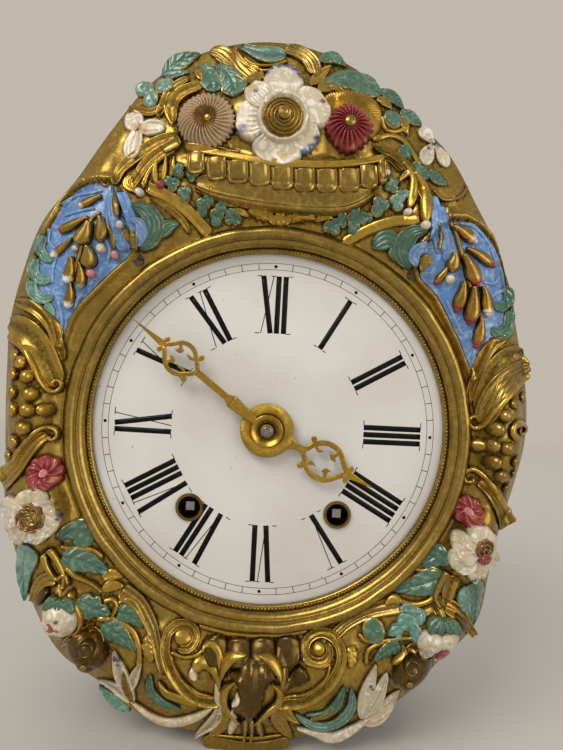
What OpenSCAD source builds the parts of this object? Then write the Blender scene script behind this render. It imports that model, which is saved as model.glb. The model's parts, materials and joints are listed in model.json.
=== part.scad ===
// Comtoise wall clock head: an embossed surround and enamel dial on an iron cage.
// Two trains stand side by side in the cage, for going and for striking.
// Millimetres, +Z up. The dial faces -Y. The origin is the middle of the underside of the bottom plate.

/* [Dial] */
// Depth of the dial centre below the top of the cage
dial_drop = 102; // [98:1:106]
// How far the enamel disc runs behind the bezel
dial_lap = 4; // [3:0.5:5]
// Thickness of the enamel disc
dial_t = 1.8; // [1.2:0.1:2.4]
// How far the middle of the disc stands in front of its edge
dial_rise = 5; // [3:0.5:5.5]
// Radius of the dial that shows inside the bezel
dial_view_r = 103; // [100:0.5:103.5]
// Outside radius of a winding eyelet
eyelet_r = 8.1; // [7.4:0.1:8.8]
// Wall of a winding eyelet
eyelet_wall = 1.6; // [1:0.1:2]

/* [Hands] */
// Gap from the tip of the minute hand to the bezel
minute_gap = 3; // [2:0.5:8]
// Hour hand, from centre to tip
hour_len = 71; // [66:1:74]
// Thickness of both hands
hand_t = 1.2; // [0.8:0.1:1.4]
// Radius of the toothed disc that the hour hand grows from
hour_disc_r = 15.4; // [14:0.2:16.4]
// Radius of the round boss of the minute hand
minute_boss_r = 9.4; // [8:0.2:10.4]
// Angle of the minute hand, clockwise from twelve
minute_angle = 307; // [300:1:320]

/* [Surround] */
// Thickness of the embossed sheet
sheet_t = 1.2; // [0.8:0.1:1.6]
// Depth of the flange of the sheet in front of the dial plate
flange_d = 12; // [11:0.5:13]
// Depth of the outer edge of the sheet in front of the dial plate
rim_d = 4; // [3:0.5:5]
// Extra swell of the sheet between bezel and edge
sheet_swell = 6; // [4:0.5:8]
// Width of the bezel moulding outside the visible dial
bezel_w = 15; // [14:0.5:16]
// Radius of the round roll on the bezel
bezel_roll_r = 4.6; // [4:0.1:5]
// Angle of the upper surround screws from twelve
screw_up_angle = 40; // [36:1:44]
// Angle of the lower surround screws from six
screw_down_angle = 38; // [34:1:42]
// Distance of the upper screws from the bezel
screw_up_gap = 4.8; // [4.4:0.1:6]
// Distance of the lower screws from the bezel
screw_down_gap = 8.8; // [6:0.1:10]

/* [Cage] */
// Width of the top and bottom plates
cage_w = 232; // [228:1:244]
// Depth of the top and bottom plates
cage_d = 130; // [128:1:140]
// Height of the cage over both plates
cage_h = 227; // [225:1:236]
// Thickness of the top and bottom plates
plate_t = 4; // [3:0.5:5]
// Side of the square corner posts
post_w = 10; // [8:0.5:12]
// Width of the pivot bars
bar_w = 20; // [18:0.5:22]
// Thickness of the pivot bars
bar_t = 4; // [3:0.5:5]
// Thickness of the sheet doors and the back cover
door_t = 1.2; // [0.8:0.1:1.6]
// Thickness of the iron dial plate
dial_plate_t = 1.5; // [1:0.1:2]
// Gap from the front bars to the dial plate, which holds the motion work
front_gap = 20.5; // [20.5:0.5:24]

/* [Trains] */
// Half spacing of the two winding arbors
train_x = 43.5; // [43.5:0.5:46]
// Teeth of a great wheel
great_n = 84; // [80:1:84]
// Module of the great wheels
great_m = 1; // [0.98:0.01:1]
// Leaves of the second pinions
second_leaves = 12; // [10:1:12]
// Teeth of the second wheels
second_n = 80; // [78:1:82]
// Module of the second wheels
second_m = 0.8; // [0.78:0.01:0.82]
// Teeth of the third wheels
third_n = 75; // [74:1:78]
// Module of the third wheels
third_m = 0.7; // [0.68:0.01:0.72]
// Leaves of the third, escape and fly pinions
leaves = 10; // [10:1:11]
// Teeth of the escape wheel
escape_n = 30; // [28:1:32]
// Radius of the escape wheel
escape_r = 19; // [18:0.5:20]
// Height of the escape arbor above the dial centre
escape_rise = 45; // [43:0.5:46]
// Height of the anchor arbor above the escape arbor
anchor_rise = 30; // [29:0.5:31]
// Radius of a winding drum
drum_r = 28; // [25:0.5:30]
// Radius of the arbors
arbor_r = 2; // [1.8:0.1:2.2]
// Radius of the pivots at the ends of the arbors
pivot_r = 1.5; // [1.2:0.1:1.6]
// Radius of the winding arbors
winding_r = 4; // [3.6:0.1:4.4]
// Side of the square on the winding arbors
square_w = 5; // [4.6:0.1:5.4]

/* [Strike] */
// Radius of the mouth of the bell
bell_r = 56; // [52:1:58]
// Height of the bell
bell_h = 44; // [40:1:48]
// Thickness of the bell
bell_t = 2.6; // [2:0.2:3.2]
// Gap from the top plate to the mouth of the bell
bell_gap = 14; // [12:1:18]
// Radius of the hammer head
hammer_r = 7; // [6:0.5:8]
// How far the hammer is drawn back, in degrees
hammer_lift = 10; // [8:1:12]

/* [Fits] */
// Radial running clearance of a pivot in its hole
run = 0.05; // [0.03:0.01:0.08]
// Clearance between pieces that pass or slide
slip = 0.3; // [0.2:0.05:0.4]

/* [Hidden] */
$fn = 48;

// Tooth shape, as shares of the module and of the tooth pitch
addendum = 0.75;
dedendum = 1.25;
tip_share = 0.16;
pitch_share = 0.36;
root_share = 0.46;

// Depth planes of the cage, from the front bars to the back bars
cage_inset = 7;
bar_front_y = -cage_d / 2 + cage_inset;
bar_in_y = bar_front_y + bar_t;
back_in_y = -bar_in_y;
back_out_y = -bar_front_y;
plate_front_y = bar_front_y - front_gap - dial_plate_t;
plate_back_y = plate_front_y + dial_plate_t;

// Wheel planes, as gaps from the inner face of the front bars
wheel_t = 2;
great_t = 3;
wheel_gap = 5.5;
second_y = bar_in_y + wheel_gap;
third_gap = 12.5;
escape_gap = 16;
great_gap = 18;
third_y = second_y + third_gap;
escape_y = third_y + escape_gap;
great_y = back_in_y - great_gap;
pinion_over = 1.5;
strip_t = 3;
strip_h = 14;

// Arbor places, as [x, z]
great_mesh = (great_n + second_leaves) * great_m / 2;
second_mesh = (second_n + leaves) * second_m / 2;
third_mesh = (third_n + leaves) * third_m / 2;
dial_z = cage_h - dial_drop;
dial_at = [0, dial_z];
going_second_at = [train_x, dial_z];
strike_second_at = [-train_x, dial_z];
going_winding_at = [train_x, dial_z - great_mesh];
strike_winding_at = [-train_x, dial_z - great_mesh];
escape_at = [0, dial_z + escape_rise];
going_third_at = circle_meet(going_second_at, second_mesh, escape_at, third_mesh);
strike_third_at = strike_second_at + [0, second_mesh];
fly_at = strike_third_at + [0, third_mesh];
anchor_at = escape_at + [0, anchor_rise];

// Motion work
motion_t = 2;
motion_gap = 2.5;
drive_n = 48;
drive_m = train_x / drive_n;
cannon_leaves = 16;
minute_n = 48;
minute_m = 0.85;
minute_leaves = 12;
hour_n = 48;
motion_mesh = (cannon_leaves + minute_n) * minute_m / 2;
hour_m = 2 * motion_mesh / (minute_leaves + hour_n);
minute_wheel_at = dial_at - [0, motion_mesh];
drive_y = bar_front_y - motion_gap - motion_t;
minute_y = drive_y - motion_t - motion_gap;
hour_y = minute_y - motion_t - motion_gap;
snail_y = hour_y - motion_t;
stud_r = 2.4;
cannon_pipe_r = 3.6;
hour_pipe_r = 5;

// Dial and hands, as depths in front of the dial plate
dial_gap = 0.3;
dial_r = dial_view_r + dial_lap;
minute_len = dial_view_r - minute_gap;
dial_front_d = dial_gap + dial_t + dial_rise;
hour_hand_d = dial_front_d + 4.6;
minute_hand_d = hour_hand_d + hand_t + 2;
nut_d = minute_hand_d + hand_t;
nut_t = 2.2;
hour_angle = minute_angle / 12 + 90;
dial_ball_r = (pow(dial_r, 2) + pow(dial_rise, 2)) / (2 * dial_rise);

// Bezel and surround
ring_in_r = dial_r + slip + 0.1;
ring_step_r = ring_in_r + 4.6;
ring_out_r = dial_view_r + bezel_w;
sheet_in_r = ring_step_r + slip;
flange_out_r = ring_out_r + 1;
pad_r = 9;
sheet_steps = 168;
sheet_rings = 17;
// Radius of the outline of the sheet about the dial centre, every 10 degrees clockwise from the top
outline_radii = [
    228, 220, 205, 195, 181, 172, 162, 156, 154, 152, 149, 149,
    156, 168, 170, 177, 181, 183, 186, 184, 184, 179, 180, 173,
    166, 162, 156, 155, 158, 165, 172, 181, 186, 200, 218, 227
];
// Main forms embossed in the sheet: [x, z, half width, half height, depth] about the dial centre
forms = [
    // White flower with its rose, two daisies and the fan of leaves behind them
    [1, 177, 32, 32, 13], [1, 175, 14, 14, 16.5], [-42, 173, 19, 19, 11.5], [37.5, 174, 17, 18, 11.5],
    [26, 199, 11, 15, 5], [-62, 197, 22, 12, 5], [60, 191, 24, 12, 5], [-6, 213, 24, 8, 1.5],
    // Basket: the row of gadroons under its rim, and the bowl
    [0, 147, 62, 10.5, 10], [0, 134, 58, 13, 7.5],
    // Sprays at the ends of the basket, pansies and the leaves beside the panels
    [-72, 145, 14, 16, 3], [76, 142, 12, 20, 4], [-81, 164, 14, 14, 2.5], [84, 164, 12, 13, 2.5],
    [-86, 118, 11, 22, 5.5], [84, 114, 11, 22, 5], [-108, 94, 11, 24, 2.6], [112, 90, 10, 24, 2.6],
    // Scrolls, grapes and the shells below them
    [-134, 46, 13, 20, 2.5], [132, 46, 12, 20, 2.5], [-138, 8, 14, 30, 7.2], [134, 4, 13, 30, 7.2],
    [-133, -27, 10, 9, 5], [128, -33, 9, 9, 4],
    // Camellias, rosebuds and poppies of the lower corners
    [-128, -53, 20, 21, 13], [-127, -53, 9, 9, 15], [120, -58, 19, 21, 13], [121, -57, 9, 9, 14.5],
    [-113, -112, 16, 15, 13], [104, -113, 14, 14, 13], [-96, -134, 12, 12, 14], [88, -135, 12, 12, 14],
    [-108, -78, 14, 12, 2], [100, -84, 14, 12, 2], [-74, -148, 16, 14, 3], [66, -148, 15, 14, 3],
    // Foot: volutes, lily and the small lobes under the bezel
    [-44, -136, 20, 28, 5.5], [42, -136, 20, 28, 5.5], [0, -143, 19, 25, 12.5], [0, -124, 26, 8, 5],
    [0, -166, 14, 14, 4.5]
];
// Sunk panels beside the upper screws, as corners about the dial centre, clockwise as seen from the front
panel_sink = 2.7;
panel_edge = 3;
panels = [
    [[-96, 140], [-86, 120], [-84, 102], [-116, 57], [-124, 55],
     [-140, 72], [-140, 85], [-128, 120], [-115, 135]],
    [[99, 127], [112, 125], [125, 113], [131, 98], [135, 83],
     [135, 69], [118, 44], [112, 51], [83, 96], [82, 108]]
];

// Doors and back
door_gap = 1;
hinge_r = 3;
hinge_pin_r = 1.5;
hinge_pin_l = 3;
door_x = cage_w / 2 - hinge_r - door_gap;
hinge_y = cage_d / 2 - hinge_r - 3;
post_x = cage_w / 2 - post_w / 2 - 8;
post_y = cage_d / 2 - post_w / 2 - 4;
tenon_r = post_w * 0.3;
cover_y = post_y + post_w / 2;

// Bell and hammer
hammer_in = 13;
hammer_rise = 52;
hammer_at = [-post_x + post_w / 2 + hammer_in, dial_z + hammer_rise];
bell_z = cage_h + bell_gap;
bell_post_r = 4;
hammer_z = bell_z + 6;
hammer_rest_gap = 1.5;
hammer_len = 16;
hammer_head_x = -bell_r - hammer_rest_gap - hammer_len;
hammer_head_at = [hammer_head_x + hammer_len / 2, hammer_z];
// Where the hammer arm crosses the top plate, at rest and drawn back
hammer_climb = (cage_h - hammer_at.y) / (hammer_z - hammer_at.y);
hammer_cross = hammer_at.x + (hammer_head_at.x - hammer_at.x) * hammer_climb;
hammer_back = hammer_cross - (cage_h - hammer_at.y) * sin(hammer_lift);
slot_x = train_x + drum_r;
slot_w = 8;

brass = "#b8923c";
pale_brass = "#cda24a";
iron = "#4a4744";
steel = "#8d8f92";

// Point at radius r, at an angle anticlockwise from +X as seen from the front
function polar(r, a) = [r * cos(a), r * sin(a)];
// The upper point at distance ra from a and rb from b
function circle_meet(a, ra, b, rb) =
    let (line = b - a, d = norm(line), u = line / d, along = (ra * ra - rb * rb + d * d) / (2 * d),
         off = sqrt(ra * ra - along * along))
    a + along * u + off * [-u.y, u.x] * (u.x < 0 ? -1 : 1);
function direction(a, b) = atan2(b.y - a.y, b.x - a.x);
// Turn of gear b so that one of its gaps meets a tooth of gear a, which is turned by ta
function mesh_turn(alpha, ta, na, nb) = alpha + 180 + (alpha - ta) * na / nb + 180 / nb;
function tooth_points(n, m, at) =
    let (pitch = 360 / n, rp = n * m / 2, ra = rp + addendum * m, rr = rp - dedendum * m)
    [for (p = [[-root_share, rr], [-pitch_share, rp], [-tip_share, ra],
               [tip_share, ra], [pitch_share, rp], [root_share, rr]])
        polar(p[1], at + p[0] * pitch / 2)];
function smooth(t) = t * t * (3 - 2 * t);
function clamp01(t) = max(0, min(1, t));
// Catmull-Rom blend through four values
function blend4(p, t) =
    0.5 * (2 * p[1] + (p[2] - p[0]) * t + (2 * p[0] - 5 * p[1] + 4 * p[2] - p[3]) * t * t
    + (3 * p[1] - p[0] - 3 * p[2] + p[3]) * t * t * t);
function outline_at(angle) =
    let (n = len(outline_radii), s = angle * n / 360, i = floor(s))
    blend4([for (k = [-1:2]) outline_radii[(i + k + n) % n]], s - i);

// Sheet depth in front of the dial plate, at x across and z up from the dial centre
function form_depth(f, x, z) =
    let (t = pow((x - f[0]) / f[2], 2) + pow((z - f[1]) / f[3], 2))
    t >= 1 ? 0 : f[4] * sqrt(1 - t);
// How far a place is sunk with a panel, from 0 outside its edge to 1 inside
function sunk(p, x, z) =
    let (n = len(p), inside = min([for (i = [0:n - 1])
        let (a = p[i], side = p[(i + 1) % n] - a) ((z - a.y) * -side.x + (x - a.x) * side.y) / norm(side)]))
    smooth(clamp01((inside + 1) / panel_edge));
function free_depth(x, z, angle) =
    let (r = norm([x, z]), t = clamp01((r - flange_out_r) / (outline_at(angle) - flange_out_r)),
         base = rim_d + (flange_d - rim_d) * (1 - pow(t, 3)) + sheet_swell * sin(180 * t),
         fade = smooth(clamp01((r - flange_out_r) / 6)) * smooth(clamp01((1 - t) * 6)))
    base + fade * (max([for (f = forms) form_depth(f, x, z)])
    - panel_sink * max([for (p = panels) sunk(p, x, z)]));
function pad_distance(x, z) =
    min([for (p = screw_places()) norm([x, z + dial_z] - p)]);
function sheet_depth(x, z, angle) =
    let (away = pad_distance(x, z),
         d = norm([x, z]) < flange_out_r + 0.01 ? flange_d : free_depth(x, z, angle))
    flange_d + (d - flange_d) * smooth(clamp01((away - pad_r) / 6));
// The first ring of points is the inner edge, and the second is where the flat flange ends
function sheet_point(i, j, back) =
    let (angle = 360 * (i % sheet_steps) / sheet_steps,
         r = j == 0 ? sheet_in_r
             : flange_out_r + (outline_at(angle) - flange_out_r) * (j - 1) / (sheet_rings - 1),
         x = r * sin(angle), z = r * cos(angle))
    [x, plate_front_y - sheet_depth(x, z, angle) + (back ? sheet_t : 0), z + dial_z];
function screw_places() =
    [for (sx = [-1, 1])
        for (p = [[screw_up_angle, screw_up_gap], [180 - screw_down_angle, screw_down_gap]])
            dial_at + polar(ring_out_r + p[1], 90 - sx * p[0])];

// Extrudes a flat shape, drawn as seen from the front, from y0 back to y1
module along_y(at, y0, y1) {
    translate([at.x, y1, at.y])
        rotate([90, 0, 0])
            linear_extrude(y1 - y0)
                children();
}
module rod_y(at, r, y0, y1) {
    along_y(at, y0, y1) circle(r);
}
module rod_z(x, y, r, z0, z1) {
    translate([x, y, z0]) cylinder(r = r, h = z1 - z0);
}
module bore_y(at, r) {
    rod_y(at, r, -cage_d, cage_d);
}
module box(x, y, z) {
    translate([x[0], y[0], z[0]]) cube([x[1] - x[0], y[1] - y[0], z[1] - z[0]]);
}

module gear_2d(n, m, turn) {
    polygon([for (i = [0:n - 1]) each tooth_points(n, m, turn + i * 360 / n)]);
}
// Toothed wheel with spokes between a hub and a rim
module wheel_2d(n, m, turn, hub_r, rim_w, spokes, spoke_w, bore_r) {
    rim_r = n * m / 2 - dedendum * m - rim_w;
    difference() {
        gear_2d(n, m, turn);
        difference() {
            circle(rim_r);
            circle(hub_r);
            for (k = [0:spokes - 1])
                rotate(90 + k * 360 / spokes)
                    translate([0, -spoke_w / 2])
                        square([rim_r + 1, spoke_w]);
        }
        circle(bore_r);
    }
}
// Arbor with pivots in both bars, with a pinion cut on it
module arbor(at, n, m, turn, pinion_y, front_y, back_y) {
    rod_y(at, arbor_r, front_y + slip, back_y - slip);
    rod_y(at, pivot_r, front_y - bar_t, back_y + bar_t);
    along_y(at, pinion_y - pinion_over, pinion_y + wheel_t + pinion_over) gear_2d(n, m, turn);
}

// Turns of the meshed gears at rest, along each train
going_great_turn = 0;
going_second_turn = mesh_turn(direction(going_winding_at, going_second_at), going_great_turn, great_n,
    second_leaves);
going_wheel_turn = 0;
going_third_turn = mesh_turn(direction(going_second_at, going_third_at), going_wheel_turn, second_n, leaves);
escape_pinion_turn = mesh_turn(direction(going_third_at, escape_at), 0, third_n, leaves);
strike_second_turn = mesh_turn(direction(strike_winding_at, strike_second_at), 0, great_n, second_leaves);
strike_third_turn = mesh_turn(direction(strike_second_at, strike_third_at), 0, second_n, leaves);
fly_turn = mesh_turn(direction(strike_third_at, fly_at), 0, third_n, leaves);
drive_turn = mesh_turn(direction(dial_at, going_second_at), 0, drive_n, drive_n);
minute_turn = mesh_turn(direction(dial_at, minute_wheel_at), 0, cannon_leaves, minute_n);
hour_wheel_turn = mesh_turn(direction(minute_wheel_at, dial_at), 0, minute_leaves, hour_n);

// Cage
bar_places = [-train_x, 0, train_x];
bar_tenon = bar_w / 2;
module plate_blank(z0) {
    difference() {
        box([-cage_w / 2, cage_w / 2], [-cage_d / 2, cage_d / 2], [z0, z0 + plate_t]);
        for (sx = [-1, 1]) {
            for (sy = [-1, 1])
                rod_z(sx * post_x, sy * post_y, tenon_r + run, z0 - 1, z0 + plate_t + 1);
            rod_z(sx * door_x, hinge_y, hinge_pin_r + run, z0 - 1, z0 + plate_t + 1);
        }
        for (x = bar_places)
            for (y = [bar_front_y, back_in_y])
                box([x - bar_tenon / 2 - run, x + bar_tenon / 2 + run], [y - run, y + bar_t + run],
                    [z0 - 1, z0 + plate_t + 1]);
    }
}
module bottom_plate() {
    color(iron)
        difference() {
            plate_blank(0);
            for (sx = [-1, 1])
                box([sx * slot_x - slot_w / 2, sx * slot_x + slot_w / 2], [drum_y0, drum_y1],
                    [-1, plate_t + 1]);
        }
}
module top_plate() {
    color(iron)
        difference() {
            plate_blank(cage_h - plate_t);
            box([hammer_back - hammer_arm_w, hammer_cross + hammer_arm_w],
                [-hammer_arm_w - 1, hammer_arm_w + 1], [cage_h - 2 * plate_t, cage_h + 1]);
            rod_z(0, 0, bell_post_r - 1 + run, cage_h - 2 * plate_t, cage_h + 1);
        }
}
module corner_posts() {
    color(iron)
        for (sx = [-1, 1])
            for (sy = [-1, 1]) {
                box([sx * post_x - post_w / 2, sx * post_x + post_w / 2],
                    [sy * post_y - post_w / 2, sy * post_y + post_w / 2], [plate_t, cage_h - plate_t]);
                rod_z(sx * post_x, sy * post_y, tenon_r, 0, cage_h);
            }
}
module bar(x, y) {
    box([x - bar_w / 2, x + bar_w / 2], [y, y + bar_t], [plate_t, cage_h - plate_t]);
    box([x - bar_tenon / 2, x + bar_tenon / 2], [y, y + bar_t], [0, cage_h]);
}
module bar_bores() {
    for (at = [going_second_at, strike_second_at, strike_third_at, fly_at, escape_at, anchor_at])
        bore_y(at, pivot_r + run);
    for (at = [going_winding_at, strike_winding_at])
        bore_y(at, winding_r + run);
}
module front_bars() {
    color(iron)
        difference() {
            for (x = bar_places)
                bar(x, bar_front_y);
            bar_bores();
            bore_y(dial_at, stud_r + run);
            bore_y(minute_wheel_at, stud_r + run);
        }
}
module back_bars() {
    color(iron)
        difference() {
            for (x = bar_places)
                bar(x, back_in_y);
            bar_bores();
        }
}
// Strips that carry the arbors standing between the bars
module cross_strips() {
    color(iron)
        for (y = [bar_in_y, back_in_y - strip_t]) {
            difference() {
                box([-bar_w / 4, train_x + bar_w / 4], [y, y + strip_t],
                    [going_third_at.y - strip_h / 2, going_third_at.y + strip_h / 2]);
                bore_y(going_third_at, pivot_r + run);
            }
            difference() {
                box([hammer_at.x - strip_h / 2, -train_x + bar_w / 4], [y, y + strip_t],
                    [hammer_at.y - strip_h / 2, hammer_at.y + strip_h / 2]);
                bore_y(hammer_at, pivot_r + run);
            }
        }
}
cover_screw_in = 40;
cover_screws = [for (sx = [-1, 1]) for (z = [cover_screw_in, cage_h - cover_screw_in]) [sx * post_x, z]];
module back_cover() {
    color(iron)
        difference() {
            box([-post_x - post_w / 2, post_x + post_w / 2], [cover_y, cover_y + door_t],
                [plate_t + slip, cage_h - plate_t - slip]);
            for (at = cover_screws)
                bore_y(at, 1.6 + run);
        }
}
module back_cover_screws() {
    color(steel)
        for (at = cover_screws)
            difference() {
                rod_y(at, 3.4, cover_y + door_t, cover_y + door_t + 1.8);
                box([at.x - 4, at.x + 4], [cover_y + door_t + 1, cover_y + door_t + 4],
                    [at.y - 0.4, at.y + 0.4]);
            }
}
door_z = [plate_t + slip, cage_h - plate_t - slip];
door_front_y = -cage_d / 2 + 4;
door_knob_z = cage_h / 2;
door_knob_y = door_front_y + 14;
module door(sx) {
    color(iron) {
        box([min(sx * door_x, sx * (door_x - door_t)), max(sx * door_x, sx * (door_x - door_t))],
            [door_front_y, hinge_y], door_z);
        rod_z(sx * door_x, hinge_y, hinge_r, door_z[0], door_z[1]);
        rod_z(sx * door_x, hinge_y, hinge_pin_r, door_z[0] - hinge_pin_l, door_z[1] + hinge_pin_l);
    }
}
module left_door() { door(-1); }
module right_door() { door(1); }
module door_knob(sx) {
    color(brass)
        translate([sx * door_x, door_knob_y, door_knob_z])
            rotate([0, sx * 90, 0])
                rotate_extrude()
                    polygon([[0, 0], [4, 0], [4, 1], [2, 2], [2, 4], [4.4, 6], [4.4, 9], [3, 11],
                             [0, 11.6]]);
}
module left_door_knob() { door_knob(-1); }
module right_door_knob() { door_knob(1); }
hoop_r = 8;
hoop_w = 5;
hoop_t = 3;
hoop_z = cage_h + hoop_r + hoop_w + 4;
hoop_y = [cage_d / 2 - hoop_t, cage_d / 2];
// Hanging loop that stands on a foot at the back of the top plate
module wall_hoop() {
    color(iron)
        difference() {
            union() {
                rod_y([0, hoop_z], hoop_r + hoop_w, hoop_y[0], hoop_y[1]);
                box([-hoop_w, hoop_w], hoop_y, [cage_h, hoop_z]);
                box([-hoop_r, hoop_r], [hoop_y[0] - 16, hoop_y[1]], [cage_h, cage_h + hoop_t]);
            }
            rod_y([0, hoop_z], hoop_r, hoop_y[0] - 1, hoop_y[1] + 1);
        }
}
spike_len = 16;
module wall_spikes() {
    color(steel)
        for (sx = [-1, 1])
            translate([sx * post_x, cover_y + door_t, 18])
                rotate([-90, 0, 0]) {
                    cylinder(r = 5, h = 2.5);
                    cylinder(r1 = 3, r2 = 0.4, h = spike_len);
                }
}

// Bell and hammer
function bell_profile(r, h) =
    [for (k = [0:12]) let (a = k * 7.5) [r * pow(cos(a), 0.8), h * pow(sin(a), 1.15)]];
module bell() {
    color(pale_brass)
        translate([0, 0, bell_z])
            rotate_extrude($fn = 96)
                polygon(concat(
                    [for (p = bell_profile(bell_r, bell_h)) [max(p[0], bell_post_r - 1 + run), p[1]]],
                    [for (k = [12:-1:0]) let (p = bell_profile(bell_r - bell_t, bell_h - bell_t)[k])
                        [max(p[0], bell_post_r - 1 + run), p[1]]]));
}
module bell_post() {
    color(steel) {
        rod_z(0, 0, bell_post_r, cage_h, bell_z + bell_h - bell_t - 0.2);
        rod_z(0, 0, bell_post_r - 1, cage_h - plate_t, bell_z + bell_h + 7);
        translate([0, 0, bell_z + bell_h + 0.2])
            cylinder(r = 7, h = 4, $fn = 6);
    }
}
hammer_arm_w = 4;
// Pins on the second wheel of the striking train, and the tail that they lift
pin_count = 10;
pin_circle_r = 29.4;
pin_r = 1.2;
tail_gap = 2.5;
tail_end = strike_second_at + polar(pin_circle_r + pin_r + tail_gap, 117);
pins_y0 = second_y + wheel_t;
pins_y1 = pins_y0 + 6;
module bar_between(a, b, w) {
    translate(a)
        rotate(atan2(b.y - a.y, b.x - a.x))
            translate([0, -w / 2])
                square([norm(b - a), w]);
}
module hammer() {
    color(steel) {
        difference() {
            union() {
                along_y([0, 0], -2, 2) bar_between(hammer_at, hammer_head_at, hammer_arm_w);
                rod_y(hammer_at, 5, -4, 4);
            }
            bore_y(hammer_at, arbor_r);
        }
        difference() {
            union() {
                along_y([0, 0], pins_y0 + 1.5, pins_y1 - 1)
                    bar_between(hammer_at, tail_end, hammer_arm_w - 1);
                rod_y(hammer_at, 5, pins_y0 + 1.5, pins_y1 + 2);
            }
            bore_y(hammer_at, arbor_r);
        }
        translate([hammer_head_x, 0, hammer_z])
            rotate([0, 90, 0])
                cylinder(r = hammer_r, h = hammer_len);
    }
}
module hammer_arbor() {
    color(steel) {
        rod_y(hammer_at, arbor_r, bar_in_y + strip_t + slip, back_in_y - strip_t - slip);
        rod_y(hammer_at, pivot_r, bar_in_y, back_in_y);
    }
}

// Dial plate, dial and surround
plate_edge = 3;
plate_half_w = max(cage_w / 2 - 1, ring_step_r + plate_edge);
plate_z = [dial_z - ring_step_r, dial_z + ring_step_r - 2 * plate_edge];
pillar_r = 4;
pillar_rise = 85;
pillar_places = [for (sx = [-1, 1]) for (sz = [-1, 1]) [sx * (post_x - 1), dial_z + sz * pillar_rise]];
module dial_pillars() {
    color(steel)
        for (at = pillar_places)
            rod_y(at, pillar_r, plate_back_y, -post_y - post_w / 2);
}
spacer_r = 4;
screw_r = 1.5;
screw_head_r = 3.4;
module dial_plate() {
    color(iron)
        difference() {
            union() {
                box([-plate_half_w, plate_half_w], [plate_front_y, plate_back_y], plate_z);
                for (at = screw_places())
                    rod_y(at, spacer_r, plate_front_y - flange_d + sheet_t, plate_front_y);
            }
            bore_y(dial_at, 15);
            for (at = [going_winding_at, strike_winding_at])
                bore_y(at, eyelet_r + 1);
            for (at = screw_places())
                bore_y(at, screw_r + run);
        }
}
module dial() {
    ball_y = plate_front_y - dial_gap - dial_rise + dial_ball_r;
    color("#f2efe6")
        difference() {
            intersection() {
                translate([0, ball_y - dial_t, dial_z]) sphere(dial_ball_r, $fn = 200);
                rod_y(dial_at, dial_r, plate_front_y - dial_front_d - 1, plate_front_y - dial_gap);
            }
            translate([0, ball_y, dial_z]) sphere(dial_ball_r, $fn = 200);
            bore_y(dial_at, 8);
            for (at = [going_winding_at, strike_winding_at])
                bore_y(at, eyelet_r + run);
        }
}
module winding_eyelets() {
    y0 = plate_front_y - dial_front_d + 0.8;
    color(brass)
        for (at = [going_winding_at, strike_winding_at])
            difference() {
                rod_y(at, eyelet_r, y0, plate_front_y - dial_gap);
                bore_y(at, eyelet_r - eyelet_wall);
            }
}
// Half section of the bezel, as [radius, depth in front of the dial plate]
module bezel_section() {
    lip_d = dial_gap + dial_t + 1;
    roll_d = flange_d + bezel_roll_r + 1;
    polygon([[dial_view_r, lip_d], [ring_in_r, lip_d], [ring_in_r, 0], [ring_step_r, 0],
             [ring_step_r, flange_d], [ring_out_r, flange_d], [ring_out_r, roll_d],
             [ring_out_r - 2 * bezel_roll_r, roll_d], [ring_in_r + 0.4, flange_d - 1],
             [dial_view_r + 3.2, lip_d + 4.4], [dial_view_r, lip_d + 2.4]]);
    translate([ring_out_r - bezel_roll_r, roll_d]) circle(bezel_roll_r);
    translate([dial_view_r + 1.4, lip_d + 3]) circle(1.4);
}
module bezel_ring() {
    color(pale_brass)
        translate([0, plate_front_y, dial_z])
            rotate([90, 0, 0])
                rotate_extrude($fn = 144)
                    bezel_section();
}
module surround() {
    row = sheet_rings + 1;
    count = sheet_steps * row;
    points = [for (back = [0, 1]) for (i = [0:sheet_steps - 1]) for (j = [0:sheet_rings])
        sheet_point(i, j, back == 1)];
    quads = [for (i = [0:sheet_steps - 1])
        let (a = i * row, b = ((i + 1) % sheet_steps) * row)
        each concat(
            [for (j = [0:sheet_rings - 1]) [a + j, a + j + 1, b + j + 1, b + j]],
            [for (j = [0:sheet_rings - 1])
                [count + a + j, count + b + j, count + b + j + 1, count + a + j + 1]],
            [[a + sheet_rings, count + a + sheet_rings, count + b + sheet_rings, b + sheet_rings]],
            [[a, b, count + b, count + a]])];
    color(brass)
        polyhedron(points, [for (q = quads) each [[q[0], q[1], q[2]], [q[0], q[2], q[3]]]]);
}
module surround_screws() {
    head_y = plate_front_y - flange_d;
    color(steel)
        for (at = screw_places()) {
            difference() {
                rod_y(at, screw_head_r, head_y - 2, head_y);
                box([at.x - 5, at.x + 5], [head_y - 3, head_y - 1.2], [at.y - 0.5, at.y + 0.5]);
            }
            rod_y(at, screw_r, head_y, plate_back_y);
        }
}

// Flat band along an arc, as seen from the front
module arc_band(at, r, w, a0, a1) {
    steps = 14;
    polygon(concat(
        [for (k = [0:steps]) at + polar(r + w / 2, a0 + (a1 - a0) * k / steps)],
        [for (k = [steps:-1:0]) at + polar(r - w / 2, a0 + (a1 - a0) * k / steps)]));
}
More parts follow.
